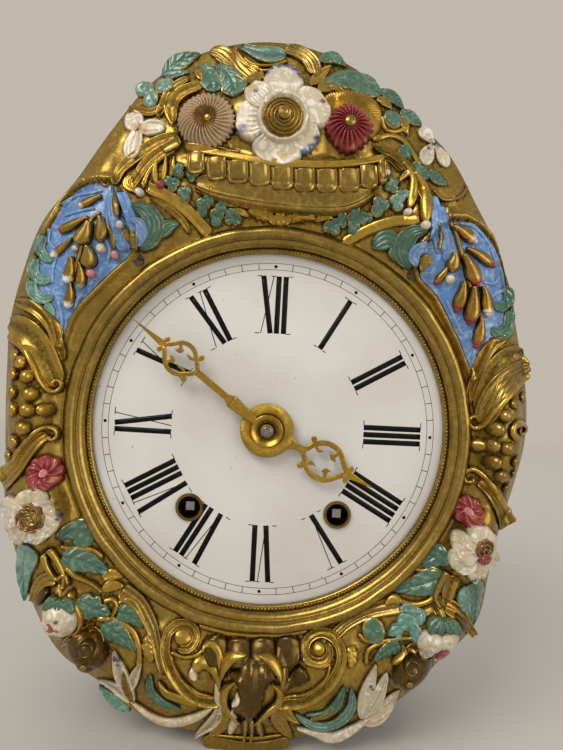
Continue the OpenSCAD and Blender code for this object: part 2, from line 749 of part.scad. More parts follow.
// Pierced head of a hand: two bowed sides with knobs, and curls inside
module hand_head(v0, v1, half_w, w) {
    mid = (v0 + v1) / 2;
    for (sx = [-1, 1]) {
        reach = (v1 - v0) / 2;
        bow_r = (reach * reach + half_w * half_w) / (2 * half_w);
        side = asin(reach / bow_r);
        start = sx > 0 ? -side : 180 - side;
        arc_band([-sx * (bow_r - half_w), mid], bow_r, w, start, start + 2 * side);
        translate([sx * half_w * 0.9, v0 + reach * 0.32]) circle(w * 0.95);
        bar_between([sx * half_w * 0.9, v0 + reach * 0.32], [sx * half_w * 0.3, v0 + reach * 0.62], w * 0.8);
        translate([sx * half_w * 0.34, mid + reach * 0.12]) circle(w * 0.8);
        bar_between([sx * half_w * 0.34, mid + reach * 0.12], [sx * half_w * 0.84, mid + reach * 0.42],
            w * 0.8);
        translate([sx * half_w * 0.45, v1 + w * 0.2]) circle(w * 0.85);
    }
    bar_between([-half_w * 0.45, v1], [half_w * 0.45, v1], w);
}
module minute_hand_2d() {
    head0 = 0.53 * minute_len;
    head1 = 0.78 * minute_len;
    polygon([[-3, 0], [3, 0], [4, 0.26 * minute_len], [1.9, 0.31 * minute_len], [1.6, head0 + 1],
             [-1.6, head0 + 1], [-1.9, 0.31 * minute_len], [-4, 0.26 * minute_len]]);
    hand_head(head0, head1, 8, 1.9);
    polygon([[-2, head1], [2, head1], [0.4, minute_len], [-0.4, minute_len]]);
}
module hour_hand_2d() {
    head0 = hour_disc_r + 9;
    head1 = head0 + 29;
    difference() {
        union() {
            gear_2d(90, hour_disc_r / 45, 0);
            polygon([[-5, hour_disc_r - 2], [5, hour_disc_r - 2], [1.8, head0 + 1], [-1.8, head0 + 1]]);
        }
        circle(hour_pipe_r + run);
    }
    hand_head(head0, head1, 10, 2.4);
    polygon([[-2.2, head1], [2.2, head1], [0.4, hour_len], [-0.4, hour_len]]);
}
module hour_hand() {
    y1 = plate_front_y - hour_hand_d;
    color(brass)
        along_y(dial_at, y1 - hand_t, y1) rotate(-hour_angle) hour_hand_2d();
}
module minute_hand() {
    y1 = plate_front_y - minute_hand_d;
    color(pale_brass)
        difference() {
            union() {
                along_y(dial_at, y1 - hand_t, y1) rotate(-minute_angle) minute_hand_2d();
                rod_y(dial_at, minute_boss_r, y1 - hand_t - 0.9, y1);
            }
            bore_y(dial_at, cannon_pipe_r + run);
        }
}
module hand_nut() {
    y1 = plate_front_y - nut_d - 0.9;
    color(steel)
        difference() {
            along_y(dial_at, y1 - nut_t, y1) circle(3.4, $fn = 6);
            bore_y(dial_at, stud_r - 0.8 + run);
        }
}

// Motion work on two fixed studs
stud_front_y = plate_front_y - nut_d - nut_t - 2;
module motion_studs() {
    color(steel) {
        rod_y(dial_at, stud_r, plate_front_y - nut_d, bar_in_y);
        rod_y(dial_at, stud_r - 0.8, stud_front_y, bar_in_y);
        rod_y(minute_wheel_at, stud_r, hour_y - motion_t - 1, bar_in_y);
    }
}
module cannon_wheel() {
    color(brass)
        difference() {
            union() {
                along_y(dial_at, drive_y, drive_y + motion_t) gear_2d(drive_n, drive_m, 0);
                along_y(dial_at, minute_y, drive_y) gear_2d(cannon_leaves, minute_m, 0);
                rod_y(dial_at, cannon_pipe_r, plate_front_y - nut_d - 0.6, drive_y);
            }
            bore_y(dial_at, stud_r + run);
        }
}
module minute_wheel() {
    color(brass)
        difference() {
            union() {
                along_y(minute_wheel_at, minute_y, minute_y + motion_t)
                    gear_2d(minute_n, minute_m, minute_turn);
                along_y(minute_wheel_at, hour_y, minute_y) gear_2d(minute_leaves, hour_m, 0);
            }
            bore_y(minute_wheel_at, stud_r + run);
        }
}
module hour_wheel() {
    color(brass)
        difference() {
            union() {
                along_y(dial_at, hour_y, hour_y + motion_t) gear_2d(hour_n, hour_m, hour_wheel_turn);
                rod_y(dial_at, hour_pipe_r, plate_front_y - hour_hand_d - hand_t - 0.4, hour_y + motion_t);
            }
            bore_y(dial_at, cannon_pipe_r + run);
        }
}
snail_low_r = 6.5;
snail_step = 0.85;
module snail() {
    color(pale_brass)
        along_y(dial_at, snail_y, hour_y)
            difference() {
                polygon([for (k = [0:11]) each
                    [for (a = [0, 10, 20, 29.9]) polar(snail_low_r + k * snail_step, -30 * k - a)]]);
                circle(hour_pipe_r + run);
            }
}
module minute_drive_wheel() {
    color(brass)
        along_y(going_second_at, drive_y, drive_y + motion_t)
            wheel_2d(drive_n, drive_m, drive_turn, 7, 2.5, 4, 4, arbor_r + run);
}

// Winding: drum and ratchet turn with the arbor, and the great wheel rides loose on it
drum_y0 = bar_in_y + 17;
drum_y1 = great_y - 6;
drum_wall = 2.5;
ratchet_n = 24;
ratchet_r = 21;
ratchet_t = 3;
module great_wheel(at) {
    color(brass)
        along_y(at, great_y, great_y + great_t)
            wheel_2d(great_n, great_m, 0, 13, 4, 4, 9, winding_r + run);
}
module drum(at) {
    flange_r = drum_r + 3;
    color(pale_brass)
        difference() {
            union() {
                rod_y(at, drum_r, drum_y0, drum_y1);
                rod_y(at, flange_r, drum_y0, drum_y0 + drum_wall);
                rod_y(at, flange_r, drum_y1 - drum_wall, drum_y1);
                along_y(at, drum_y1, drum_y1 + ratchet_t)
                    polygon([for (k = [0:ratchet_n - 1]) each [polar(ratchet_r, k * 360 / ratchet_n),
                        polar(ratchet_r - 2.4, (k + 0.06) * 360 / ratchet_n)]]);
            }
            rod_y(at, drum_r - drum_wall, drum_y0 + drum_wall, drum_y1 - drum_wall);
            bore_y(at, winding_r);
        }
}
module winding_arbor(at) {
    square_end_y = plate_front_y - dial_front_d + 5;
    color(steel) {
        rod_y(at, winding_r, bar_front_y - 3, back_out_y);
        along_y(at, square_end_y, bar_front_y - 3) square(square_w, center = true);
    }
}
// Click on a spoke of the great wheel, held just off the tips of the ratchet teeth
click_out = 30;
module click(at) {
    pivot = at + [0, click_out];
    nose = at + polar(ratchet_r + 1.9, 115);
    color(steel) {
        difference() {
            along_y([0, 0], drum_y1 + slip, drum_y1 + ratchet_t - slip) {
                translate(pivot) circle(4);
                bar_between(pivot, nose, 3);
            }
            bore_y(pivot, 1.2 + run);
        }
    }
}
module click_pin(at) {
    color(steel)
        rod_y(at + [0, click_out], 1.2, drum_y1 + slip, great_y);
}
module going_great_wheel() {
    great_wheel(going_winding_at);
    click_pin(going_winding_at);
}
module strike_great_wheel() {
    great_wheel(strike_winding_at);
    click_pin(strike_winding_at);
}
module going_drum() { drum(going_winding_at); }
module strike_drum() { drum(strike_winding_at); }
module going_winding_arbor() { winding_arbor(going_winding_at); }
module strike_winding_arbor() { winding_arbor(strike_winding_at); }
module going_click() { click(going_winding_at); }
module strike_click() { click(strike_winding_at); }

// Second, third and last arbors of each train
module second_arbor(at, turn, front_end) {
    color(steel) {
        rod_y(at, arbor_r, bar_in_y + slip, back_in_y - slip);
        rod_y(at, pivot_r, front_end, back_out_y);
        along_y(at, great_y - pinion_over, great_y + great_t + pinion_over)
            gear_2d(second_leaves, great_m, turn);
    }
}
module second_wheel(at) {
    color(brass)
        along_y(at, second_y, second_y + wheel_t)
            wheel_2d(second_n, second_m, 0, 8, 3, 4, 5, arbor_r);
}
module third_wheel(at) {
    color(brass)
        along_y(at, third_y, third_y + wheel_t)
            wheel_2d(third_n, third_m, 0, 7, 2.5, 4, 4, arbor_r);
}
module going_second_wheel() { second_wheel(going_second_at); }
module going_second_arbor() {
    second_arbor(going_second_at, going_second_turn, drive_y - 1);
    color(steel) rod_y(going_second_at, arbor_r, drive_y - 1, drive_y + motion_t + 0.5);
}
module going_third_wheel() { third_wheel(going_third_at); }
module going_third_arbor() {
    color(steel)
        arbor(going_third_at, leaves, second_m, going_third_turn, second_y,
            bar_in_y + strip_t, back_in_y - strip_t);
}
module escape_wheel() {
    step = 360 / escape_n;
    color(brass)
        along_y(escape_at, escape_y, escape_y + wheel_t)
            difference() {
                polygon([for (k = [0:escape_n - 1]) each [polar(escape_r, k * step),
                    polar(escape_r - 3.6, (k + 0.3) * step), polar(escape_r - 3.6, (k + 0.75) * step)]]);
                difference() {
                    circle(escape_r - 6.2);
                    circle(6);
                    for (k = [0:3])
                        rotate(k * 90) translate([0, -1.5]) square([escape_r, 3]);
                }
                circle(arbor_r);
            }
}
module escape_arbor() {
    color(steel)
        arbor(escape_at, leaves, third_m, escape_pinion_turn, third_y, bar_in_y, back_in_y);
}
// Anchor with two pallets that ride just outside the tips of the escape wheel
anchor_span = 52;
module anchor() {
    off = 2.2;
    color(steel)
        along_y([0, 0], escape_y - 0.5, escape_y + wheel_t + 0.5)
            difference() {
                union() {
                    translate(anchor_at) circle(5);
                    for (sx = [-1, 1]) {
                        pallet = escape_at + polar(escape_r + off + 1.5, 90 - sx * anchor_span);
                        elbow = pallet + [sx * 2, 9];
                        bar_between(anchor_at, elbow, 3.4);
                        bar_between(elbow, pallet, 3.4);
                        translate(elbow) circle(1.7);
                    }
                }
                translate(anchor_at) circle(arbor_r);
            }
}
crutch_y = bar_front_y - 9;
crutch_len = 44;
module anchor_arbor() {
    color(steel) {
        rod_y(anchor_at, arbor_r, bar_in_y + slip, back_in_y - slip);
        rod_y(anchor_at, pivot_r, crutch_y, back_out_y);
        along_y([0, 0], crutch_y - 2, crutch_y) {
            translate(anchor_at) circle(4);
            bar_between(anchor_at, anchor_at - [0, crutch_len - 6], 3);
            for (sx = [-1, 1])
                translate(anchor_at + [sx * 2.6 - 0.8, -crutch_len]) square([1.6, 9]);
            translate(anchor_at + [-3.4, -crutch_len + 7.4]) square([6.8, 2.4]);
        }
    }
}
// Bracket that the pendulum spring hangs from, above the crutch
cock_gap = 5;
cock_h = 7;
module suspension_cock() {
    z0 = anchor_at.y + cock_gap;
    color(brass)
        difference() {
            box([-7, 7], [bar_front_y - 16, bar_front_y], [z0, z0 + cock_h]);
            box([-0.5, 0.5], [bar_front_y - 17, bar_front_y - 6], [z0 - 1, z0 + cock_h + 1]);
        }
}

// Striking
module strike_pin_wheel() {
    second_wheel(strike_second_at);
    color(steel)
        for (k = [0:pin_count - 1])
            rod_y(strike_second_at + polar(pin_circle_r, (k + 0.5) * 360 / pin_count), pin_r,
                second_y, pins_y1);
}
module strike_second_arbor() { second_arbor(strike_second_at, strike_second_turn, bar_front_y); }
module strike_third_wheel() { third_wheel(strike_third_at); }
module strike_third_arbor() {
    color(steel)
        arbor(strike_third_at, leaves, second_m, strike_third_turn, second_y, bar_in_y, back_in_y);
}
fly_half = 20;
fly_y = [third_y + 8, third_y + 46];
module fly() {
    color(pale_brass)
        difference() {
            union() {
                box([fly_at.x - fly_half, fly_at.x + fly_half], fly_y, [fly_at.y - 0.5, fly_at.y + 0.5]);
                rod_y(fly_at, arbor_r + 1.6, fly_y[0], fly_y[1]);
            }
            bore_y(fly_at, arbor_r);
        }
}
module fly_arbor() {
    color(steel)
        arbor(fly_at, leaves, third_m, fly_turn, third_y, bar_in_y, back_in_y);
}
rack_x = -25;
rack_w = 6;
rack_y = [plate_back_y + 1.5, plate_back_y + 3.5];
rack_z = [dial_z + 18, dial_z + 82];
rack_tooth = 2.5;
rack_rise = 12;
module rack() {
    color(steel) {
        box([rack_x - rack_w / 2, rack_x + rack_w / 2], rack_y, rack_z);
        box([rack_x, -3], rack_y, [rack_z[0], rack_z[0] + 4]);
        for (z = [rack_z[0] + 36:rack_tooth:rack_z[1] - rack_tooth - 6])
            along_y([rack_x - rack_w / 2, z], rack_y[0], rack_y[1])
                polygon([[0.1, 0], [0.1, rack_tooth], [-1.6, rack_tooth - 0.4]]);
    }
}
module rack_guides() {
    color(brass)
        for (z = [rack_z[0] + rack_rise + 6, rack_z[0] + rack_rise + 17])
            difference() {
                box([rack_x - rack_w / 2 - 2.5, bar_w / 4], [rack_y[0] - 1.2, bar_front_y], [z, z + 4]);
                box([rack_x - rack_w / 2 - slip, rack_x + rack_w / 2 + slip],
                    [rack_y[0] - slip, rack_y[1] + slip], [z - 1, z + 5]);
                box([rack_x + rack_w / 2 + 2.5, bar_w], [rack_y[0] - 2, bar_front_y - 3], [z - 1, z + 5]);
            }
}
lever_at = [-train_x, dial_z + hammer_rise];
lever_y = [bar_front_y - 8, bar_front_y - 6];
module release_lever() {
    color(steel) {
        rod_y(lever_at, pivot_r, lever_y[0] - 1, bar_front_y);
        along_y([0, 0], lever_y[0], lever_y[1]) {
            translate(lever_at) circle(4);
            bar_between(lever_at, lever_at + [9, -22], 3);
            bar_between(lever_at, lever_at + [-16, 10], 3);
        }
    }
}

bottom_plate();
top_plate();
corner_posts();
front_bars();
back_bars();
cross_strips();
back_cover();
back_cover_screws();
left_door();
right_door();
left_door_knob();
right_door_knob();
wall_hoop();
wall_spikes();
bell();
bell_post();
hammer();
hammer_arbor();
dial_pillars();
dial_plate();
dial();
winding_eyelets();
bezel_ring();
surround();
surround_screws();
hour_hand();
minute_hand();
hand_nut();
motion_studs();
cannon_wheel();
minute_wheel();
hour_wheel();
snail();
minute_drive_wheel();
going_great_wheel();
going_drum();
going_winding_arbor();
going_click();
going_second_wheel();
going_second_arbor();
going_third_wheel();
going_third_arbor();
escape_wheel();
escape_arbor();
anchor();
anchor_arbor();
suspension_cock();
strike_great_wheel();
strike_drum();
strike_winding_arbor();
strike_click();
strike_pin_wheel();
strike_second_arbor();
strike_third_wheel();
strike_third_arbor();
fly();
fly_arbor();
rack();
rack_guides();
release_lever();
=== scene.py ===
import json
import math
import bmesh
import bpy
import numpy as np
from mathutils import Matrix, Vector
from mathutils.kdtree import KDTree


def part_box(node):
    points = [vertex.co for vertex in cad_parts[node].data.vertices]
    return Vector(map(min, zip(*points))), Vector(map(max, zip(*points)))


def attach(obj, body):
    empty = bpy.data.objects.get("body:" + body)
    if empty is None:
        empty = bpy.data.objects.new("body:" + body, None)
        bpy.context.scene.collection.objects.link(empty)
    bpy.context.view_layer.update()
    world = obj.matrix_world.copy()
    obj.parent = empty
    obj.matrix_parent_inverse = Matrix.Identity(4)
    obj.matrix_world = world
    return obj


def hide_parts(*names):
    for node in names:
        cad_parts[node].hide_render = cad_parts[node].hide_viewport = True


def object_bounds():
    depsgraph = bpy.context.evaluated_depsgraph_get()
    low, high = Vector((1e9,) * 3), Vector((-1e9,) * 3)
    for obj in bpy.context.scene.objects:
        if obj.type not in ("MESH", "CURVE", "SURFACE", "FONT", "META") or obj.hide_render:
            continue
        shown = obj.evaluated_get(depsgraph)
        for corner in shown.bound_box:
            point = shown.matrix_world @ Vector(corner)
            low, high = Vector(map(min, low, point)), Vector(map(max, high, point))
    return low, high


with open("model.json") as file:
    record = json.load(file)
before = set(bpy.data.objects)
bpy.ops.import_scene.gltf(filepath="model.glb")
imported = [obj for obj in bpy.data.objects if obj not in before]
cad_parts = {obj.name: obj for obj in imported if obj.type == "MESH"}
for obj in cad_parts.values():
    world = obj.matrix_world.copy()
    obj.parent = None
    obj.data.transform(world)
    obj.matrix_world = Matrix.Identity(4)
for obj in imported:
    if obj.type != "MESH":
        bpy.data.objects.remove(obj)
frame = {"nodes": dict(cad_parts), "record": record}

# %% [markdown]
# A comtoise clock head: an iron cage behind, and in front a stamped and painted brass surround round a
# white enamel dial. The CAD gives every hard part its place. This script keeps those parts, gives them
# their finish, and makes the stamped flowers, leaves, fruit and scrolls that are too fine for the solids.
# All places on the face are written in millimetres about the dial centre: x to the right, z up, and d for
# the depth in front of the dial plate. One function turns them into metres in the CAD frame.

cad_lo, cad_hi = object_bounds()
ring_lo, ring_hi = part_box("bezel_ring")
MM = 0.001
PLATE_Y = ring_hi.y
CENTRE_Z = (ring_lo.z + ring_hi.z) / 2
BEZEL_R = (ring_hi.x - ring_lo.x) / 2 / MM
print("dial centre", round(CENTRE_Z / MM, 1), "mm up, bezel radius", round(BEZEL_R, 1), "mm")

# %% [markdown]
# The photograph was taken from straight in front, close by, with the phone turned a little. The camera
# stands where the dial and the surround appear at their sizes in the picture, and a roll of three degrees
# gives the tilt. The same numbers are used the other way round: a pixel of the photograph sends a ray to
# the sheet, and the ornament that shows there is placed where the ray lands.

# %% Camera
IMAGE_W, IMAGE_H = 563, 750
FOCAL = 563.0
CAMERA_X, CAMERA_Z, CAMERA_D = 6.6, 32.4, 336.7
ROLL = math.radians(3)
SENSOR_W = 36.0

camera_data = bpy.data.cameras.new("camera")
camera_data.sensor_fit = "HORIZONTAL"
camera_data.sensor_width = SENSOR_W
camera_data.lens = SENSOR_W * FOCAL / IMAGE_W
camera_data.clip_start, camera_data.clip_end = 0.01, 50
camera = bpy.data.objects.new("camera", camera_data)
camera.location = (CAMERA_X * MM, PLATE_Y - CAMERA_D * MM, CENTRE_Z + CAMERA_Z * MM)
camera.rotation_mode = "XYZ"
camera.rotation_euler = (math.radians(90), -ROLL, 0)
bpy.context.scene.collection.objects.link(camera)
bpy.context.scene.camera = camera
bpy.context.scene.view_settings.view_transform = "Standard"
print("camera", [round(v, 3) for v in camera.location])

# %% [markdown]
# The ornament is listed in tables of plain text, one part to a row. A row can hold words (a kind of part, a
# finish), numbers (sizes in millimetres), points written as x,y (pixels of the photograph, unless the table
# says otherwise) and options written as key=value. Short rows share a line, with a semicolon between them.
# This reader sorts each row into those four.

# %% Table reader
def number(item):
    """The item as a number, or as it is where it isn't one."""
    try:
        return float(item)
    except ValueError:
        return item


def read(table):
    """Yields the words, numbers, points and options of each row."""
    for row in table.replace(";", "\n").splitlines():
        words, numbers, points, options = [], [], [], {}
        for item in row.split():
            key, equals, value = item.partition("=")
            if equals:
                options[key] = number(value)
            elif "," in item:
                points.append(tuple(float(c) for c in item.split(",")))
            else:
                value = number(item)
                (numbers if isinstance(value, float) else words).append(value)
        if row.strip():
            yield words, numbers, points, options


def pixels(table):
    """All the pixels of a table in order."""
    return [point for row in read(table) for point in row[2]]


EXAMPLE = "leaf teal 4.4 319,62 332,58 347,67 lift=0.5"
print("a row:", next(read(EXAMPLE)))

# %% [markdown]
# Plain studio: a pale floor under the clock, a pale world all round, and three large soft lamps. The world
# is bright only for the camera and for reflections, and dimmer as a lamp, so that the gilding keeps its
# shadows. Far from the clock the floor fades into the same tone, as a roll of studio paper does, so no
# horizon shows.

# %% Floor, world and lamps
FLOOR_HALF, FLOOR_DROP = 12.0, 0.004
FADE_NEAR, FADE_FAR = 0.5, 2.4
BACKGROUND, FLOOR_COLOUR = (0.53, 0.48, 0.41, 1), (0.60, 0.55, 0.48, 1)
SKY_COLOUR, SKY_STRENGTH = (0.92, 0.95, 1.0, 1), 0.45
LAMP_COLOUR, LAMP_AIM = (1.0, 0.97, 0.93), (0, -0.1, 0.14)

floor_bm = bmesh.new()
bmesh.ops.create_grid(floor_bm, x_segments=1, y_segments=1, size=FLOOR_HALF)
bmesh.ops.translate(floor_bm, verts=floor_bm.verts, vec=(0, 0, cad_lo.z - FLOOR_DROP))
floor_mesh = bpy.data.meshes.new("floor")
floor_bm.to_mesh(floor_mesh)
floor_bm.free()
floor = bpy.data.objects.new("floor", floor_mesh)
bpy.context.scene.collection.objects.link(floor)


def wire(tree, kind, sockets=None, **settings):
    """Adds a node, sets its options, and links or sets its sockets."""
    made = tree.nodes.new("ShaderNode" + kind)
    for key, value in settings.items():
        setattr(made, key, value)
    for key, value in (sockets or {}).items():
        if isinstance(value, bpy.types.NodeSocket):
            tree.links.new(value, made.inputs[key])
        else:
            made.inputs[key].default_value = value
    return made


def maths(tree, how, first, second):
    return wire(tree, "Math", {0: first, 1: second}, operation=how).outputs[0]


def span(tree, value, low, high):
    """Smooth step from 0 at low to 1 at high."""
    return wire(tree, "MapRange", {"Value": value, "From Min": low, "From Max": high},
                interpolation_type="SMOOTHSTEP").outputs["Result"]


def seen_rays(tree):
    """1 for rays that show the background: straight, mirrored or through glass."""
    rays = wire(tree, "LightPath").outputs
    return maths(tree, "MAXIMUM", maths(tree, "MAXIMUM", rays["Is Camera Ray"], rays["Is Glossy Ray"]),
                 rays["Is Transmission Ray"])


def new_material(name):
    material = bpy.data.materials.new(name)
    material.use_nodes = True
    tree = material.node_tree
    return material, tree, tree.nodes["Principled BSDF"]


def lamp(name, place, size, power):
    data = bpy.data.lights.new(name, "AREA")
    data.shape = "RECTANGLE"
    data.size, data.size_y = size
    data.energy = power
    data.color = LAMP_COLOUR
    light = bpy.data.objects.new(name, data)
    light.location = place
    light.rotation_euler = (Vector(LAMP_AIM) - Vector(place)).to_track_quat("-Z", "Y").to_euler()
    bpy.context.scene.collection.objects.link(light)


world = bpy.data.worlds.new("studio")
bpy.context.scene.world = world
world.use_nodes = True
sky = world.node_tree
sky.nodes.clear()
lamp_side = wire(sky, "Background", {"Color": SKY_COLOUR, "Strength": SKY_STRENGTH})
seen_side = wire(sky, "Background", {"Color": BACKGROUND, "Strength": 1.0})
both_sides = wire(sky, "MixShader", {0: seen_rays(sky), 1: lamp_side.outputs[0], 2: seen_side.outputs[0]})
wire(sky, "OutputWorld", {0: both_sides.outputs[0]})

floor_paint, tree, shader = new_material("pale_floor")
shader.inputs["Base Color"].default_value = FLOOR_COLOUR
shader.inputs["Roughness"].default_value = 0.9
place = wire(tree, "TexCoord").outputs["Object"]
away = wire(tree, "VectorMath", {0: place}, operation="LENGTH").outputs["Value"]
fade = maths(tree, "MULTIPLY", span(tree, away, FADE_NEAR, FADE_FAR), seen_rays(tree))
far = wire(tree, "Emission", {"Color": BACKGROUND})
mixed = wire(tree, "MixShader", {0: fade, 1: shader.outputs[0], 2: far.outputs[0]})
tree.links.new(mixed.outputs[0], tree.nodes["Material Output"].inputs["Surface"])
floor.data.materials.append(floor_paint)

lamp("key", (-0.75, -1.15, 1.25), (0.9, 0.7), 15)
lamp("fill", (1.2, -1.2, 0.5), (1.2, 1.0), 7)
lamp("back", (0.3, 1.6, 1.4), (1.4, 1.0), 12)
print("lamps and floor set")

# %% [markdown]
# The sheet is brass stamped in a die. Its base form is smooth: a flat flange under the bezel, a swell
# across the width, a thin rim, broad swellings under the flowers and two sunk panels with a raised edge. It
# is written as one formula for the depth at any place, because every ornament has to sit on it.

# %% Base form of the sheet
FLANGE_R, FLANGE_D, RIM_D, SWELL_D = BEZEL_R + 1.0, 12.0, 4.0, 6.0
# Radius of the edge every ten degrees, clockwise from the top
OUTLINE = np.array([228, 220, 205, 195, 181, 172, 162, 156, 154, 152, 149, 149,
                    156, 168, 170, 177, 181, 183, 186, 184, 184, 179, 180, 173,
                    166, 162, 156, 155, 158, 165, 172, 181, 186, 200, 218, 227], float)
# Broad swellings: x, z, half width, half height, depth
SWELLS = [(1, 177, 34, 33, 8.5), (-42, 173, 21, 21, 6.5), (37.5, 174, 19, 20, 6.5), (0, 147, 64, 14, 6),
          (0, 133, 60, 15, 5.5), (-86, 120, 13, 26, 4), (84, 116, 13, 26, 4), (-138, 8, 16, 34, 6),
          (134, 4, 15, 34, 6), (-128, -53, 22, 23, 8), (120, -58, 21, 23, 8), (-112, -111, 18, 18, 7),
          (104, -111, 17, 17, 7), (-96, -132, 14, 14, 6), (88, -133, 14, 14, 6), (-44, -136, 20, 28, 4),
          (42, -136, 20, 28, 4), (0, -144, 20, 30, 7), (-62, 197, 24, 14, 3.5), (60, 191, 26, 14, 3.5)]
# Millimetres over which swellings rise from the flange, and how steeply they end at the rim
FLANGE_BLEND, RIM_SLOPE = 8, 5
# Depth at which the search for a landing starts, and its rounds
FIRST_D, LANDING_ROUNDS = 20.0, 8


def through(a, b, c, e, t):
    """A smooth curve from b to c between its neighbours a and e; t runs from 0 to 1."""
    square, cube = (2 * a - 5 * b + 4 * c - e) * t ** 2, (3 * b - a - 3 * c + e) * t ** 3
    return 0.5 * (2 * b + (c - a) * t + square + cube)


def outline(angle):
    """Radius of the sheet's edge; angle runs clockwise from the top, in radians."""
    n = len(OUTLINE)
    s = np.degrees(angle) % 360 * n / 360
    i = np.floor(s).astype(int)
    return through(*(OUTLINE[(i + k) % n] for k in (-1, 0, 1, 2)), s - i)


def ease(t):
    t = np.clip(t, 0, 1)
    return t * t * (3 - 2 * t)


def plain_depth(x, z):
    """Depth of the sheet before its panels are sunk."""
    r, angle = np.hypot(x, z), np.arctan2(x, z)
    t = np.clip((r - FLANGE_R) / (outline(angle) - FLANGE_R), 0, 1)
    d = RIM_D + (FLANGE_D - RIM_D) * (1 - t ** 3) + SWELL_D * np.sin(math.pi * t)
    bump = 0
    for sx, sz, rx, rz, h in SWELLS:
        q = np.clip(1 - ((x - sx) / rx) ** 2 - ((z - sz) / rz) ** 2, 0, 1)
        bump = np.maximum(bump, h * q ** 0.8)
    return d + bump * ease((r - FLANGE_R) / FLANGE_BLEND) * ease((1 - t) * RIM_SLOPE)


def landing(px, py, depth):
    """Place in mm where the ray through a pixel of the photograph meets the depth that a function gives."""
    ix, iz = px - IMAGE_W / 2, IMAGE_H / 2 - py
    ux, uz = ix * math.cos(ROLL) - iz * math.sin(ROLL), ix * math.sin(ROLL) + iz * math.cos(ROLL)
    d = FIRST_D
    for _ in range(LANDING_ROUNDS):
        reach = (CAMERA_D - d) / FOCAL
        x, z = CAMERA_X + ux * reach, CAMERA_Z + uz * reach
        d = 0.5 * d + 0.5 * float(depth(np.float64(x), np.float64(z)))
    return x, z


# Edges of the two sunk panels, as they show in the photograph
PANEL_LEFT_PX = """
111,181 95,180 84,183 72,191 61,204 53,218 41,241 33,266 31,284 33,298 46,309 53,319 58,332 61,344 64,335
69,319 79,304 95,288 111,272 126,259 132,252 131,234 122,208
"""
PANEL_RIGHT_PX = """
452,218 466,218 481,226 492,238 500,253 506,272 509,292 511,312 509,328 501,337 492,339 485,351 477,366
473,377 468,363 460,342 449,319 437,296 429,287 420,278 418,266 426,244 440,228
"""
PANELS = [np.array([landing(*p, plain_depth) for p in pixels(table)])
          for table in (PANEL_LEFT_PX, PANEL_RIGHT_PX)]
# Depth of a panel and place and width of its wall, then the same of the raised edge round it
PANEL_SINK, WALL_OUT, WALL_W = 3.0, 1, 3
EDGE_H, EDGE_OUT, EDGE_W = 2.4, 1.6, 1.5


def inside_by(edge, x, z):
    """Distance inside a closed edge, negative outside."""
    best, odd = np.full(np.shape(x), 1e9), np.zeros(np.shape(x), bool)
    for (ax, az), (bx, bz) in zip(edge, np.roll(edge, -1, 0)):
        t = np.clip(((x - ax) * (bx - ax) + (z - az) * (bz - az)) / ((bx - ax) ** 2 + (bz - az) ** 2), 0, 1)
        best = np.minimum(best, np.hypot(x - ax - t * (bx - ax), z - az - t * (bz - az)))
        odd ^= ((az > z) != (bz > z)) & (x < (bx - ax) * (z - az) / (bz - az + 1e-12) + ax)
    return np.where(odd, best, -best)


def sheet_depth(x, z):
    d = plain_depth(x, z)
    for edge in PANELS:
        w = inside_by(edge, x, z)
        wall, ridge = ease((w + WALL_OUT) / WALL_W), np.exp(-((w + EDGE_OUT) / EDGE_W) ** 2)
        d = d - PANEL_SINK * wall + EDGE_H * ridge
    return d


def spot(px, py):
    return landing(px, py, sheet_depth)


print("panels", [e.round(0).min(0).tolist() + e.round(0).max(0).tolist() for e in PANELS])

# %% [markdown]
# Every finish on this clock is old: gilding that is dark brown in the hollows, partly dirt and partly painted
# shade, and paint that has rubbed through to the brass on the high places. The ageing is one node group, used
# by all of them. It reads four marks that the builders leave on each vertex: dirt_and_shade (1 in a hollow or
# where a part meets the sheet, where it darkens the colour as dirt and as painted shade), along (0 at the
# root of a leaf or pod, 1 at its tip), rim (1 along the edge of a part, where fingers rub it bright) and dab
# (a touch of another paint, with its strength as alpha). Lighter streaks follow a distorted noise, as a brush
# leaves them.

# %% Ageing group
FLOAT, COLOUR = "NodeSocketFloat", "NodeSocketColor"


def rgb(r, g, b):
    """A colour read off a screen, as the linear values that a shader takes."""
    linear = [((c / 255 + 0.055) / 1.055) ** 2.4 if c > 10 else c / 255 / 12.92 for c in (r, g, b)]
    return (*linear, 1.0)


def noise(tree, place, scale, **more):
    return wire(tree, "TexNoise", {"Vector": place, "Scale": scale, **more}).outputs["Fac"]


def spread(tree, value, low, high):
    """Stretches a noise, which keeps mostly between 0.3 and 0.7, over a range."""
    return wire(tree, "MapRange", {"Value": value, "From Min": 0.3, "From Max": 0.7, "To Min": low,
                                   "To Max": high}).outputs["Result"]


def toned(tree, colour, value):
    return wire(tree, "HueSaturation", {"Color": colour, "Value": value}).outputs["Color"]


def blend(tree, factor, first, second):
    return wire(tree, "Mix", {0: factor, 6: first, 7: second}, data_type="RGBA").outputs[2]


def mark_of(tree, name):
    return wire(tree, "Attribute", attribute_name=name).outputs


def new_group(name, inputs, outputs):
    tree = bpy.data.node_groups.new(name, "ShaderNodeTree")
    for label, kind in inputs.items():
        tree.interface.new_socket(label, in_out="INPUT", socket_type=kind)
    for label, kind in outputs.items():
        tree.interface.new_socket(label, in_out="OUTPUT", socket_type=kind)
    return tree, tree.nodes.new("NodeGroupInput").outputs, tree.nodes.new("NodeGroupOutput").inputs


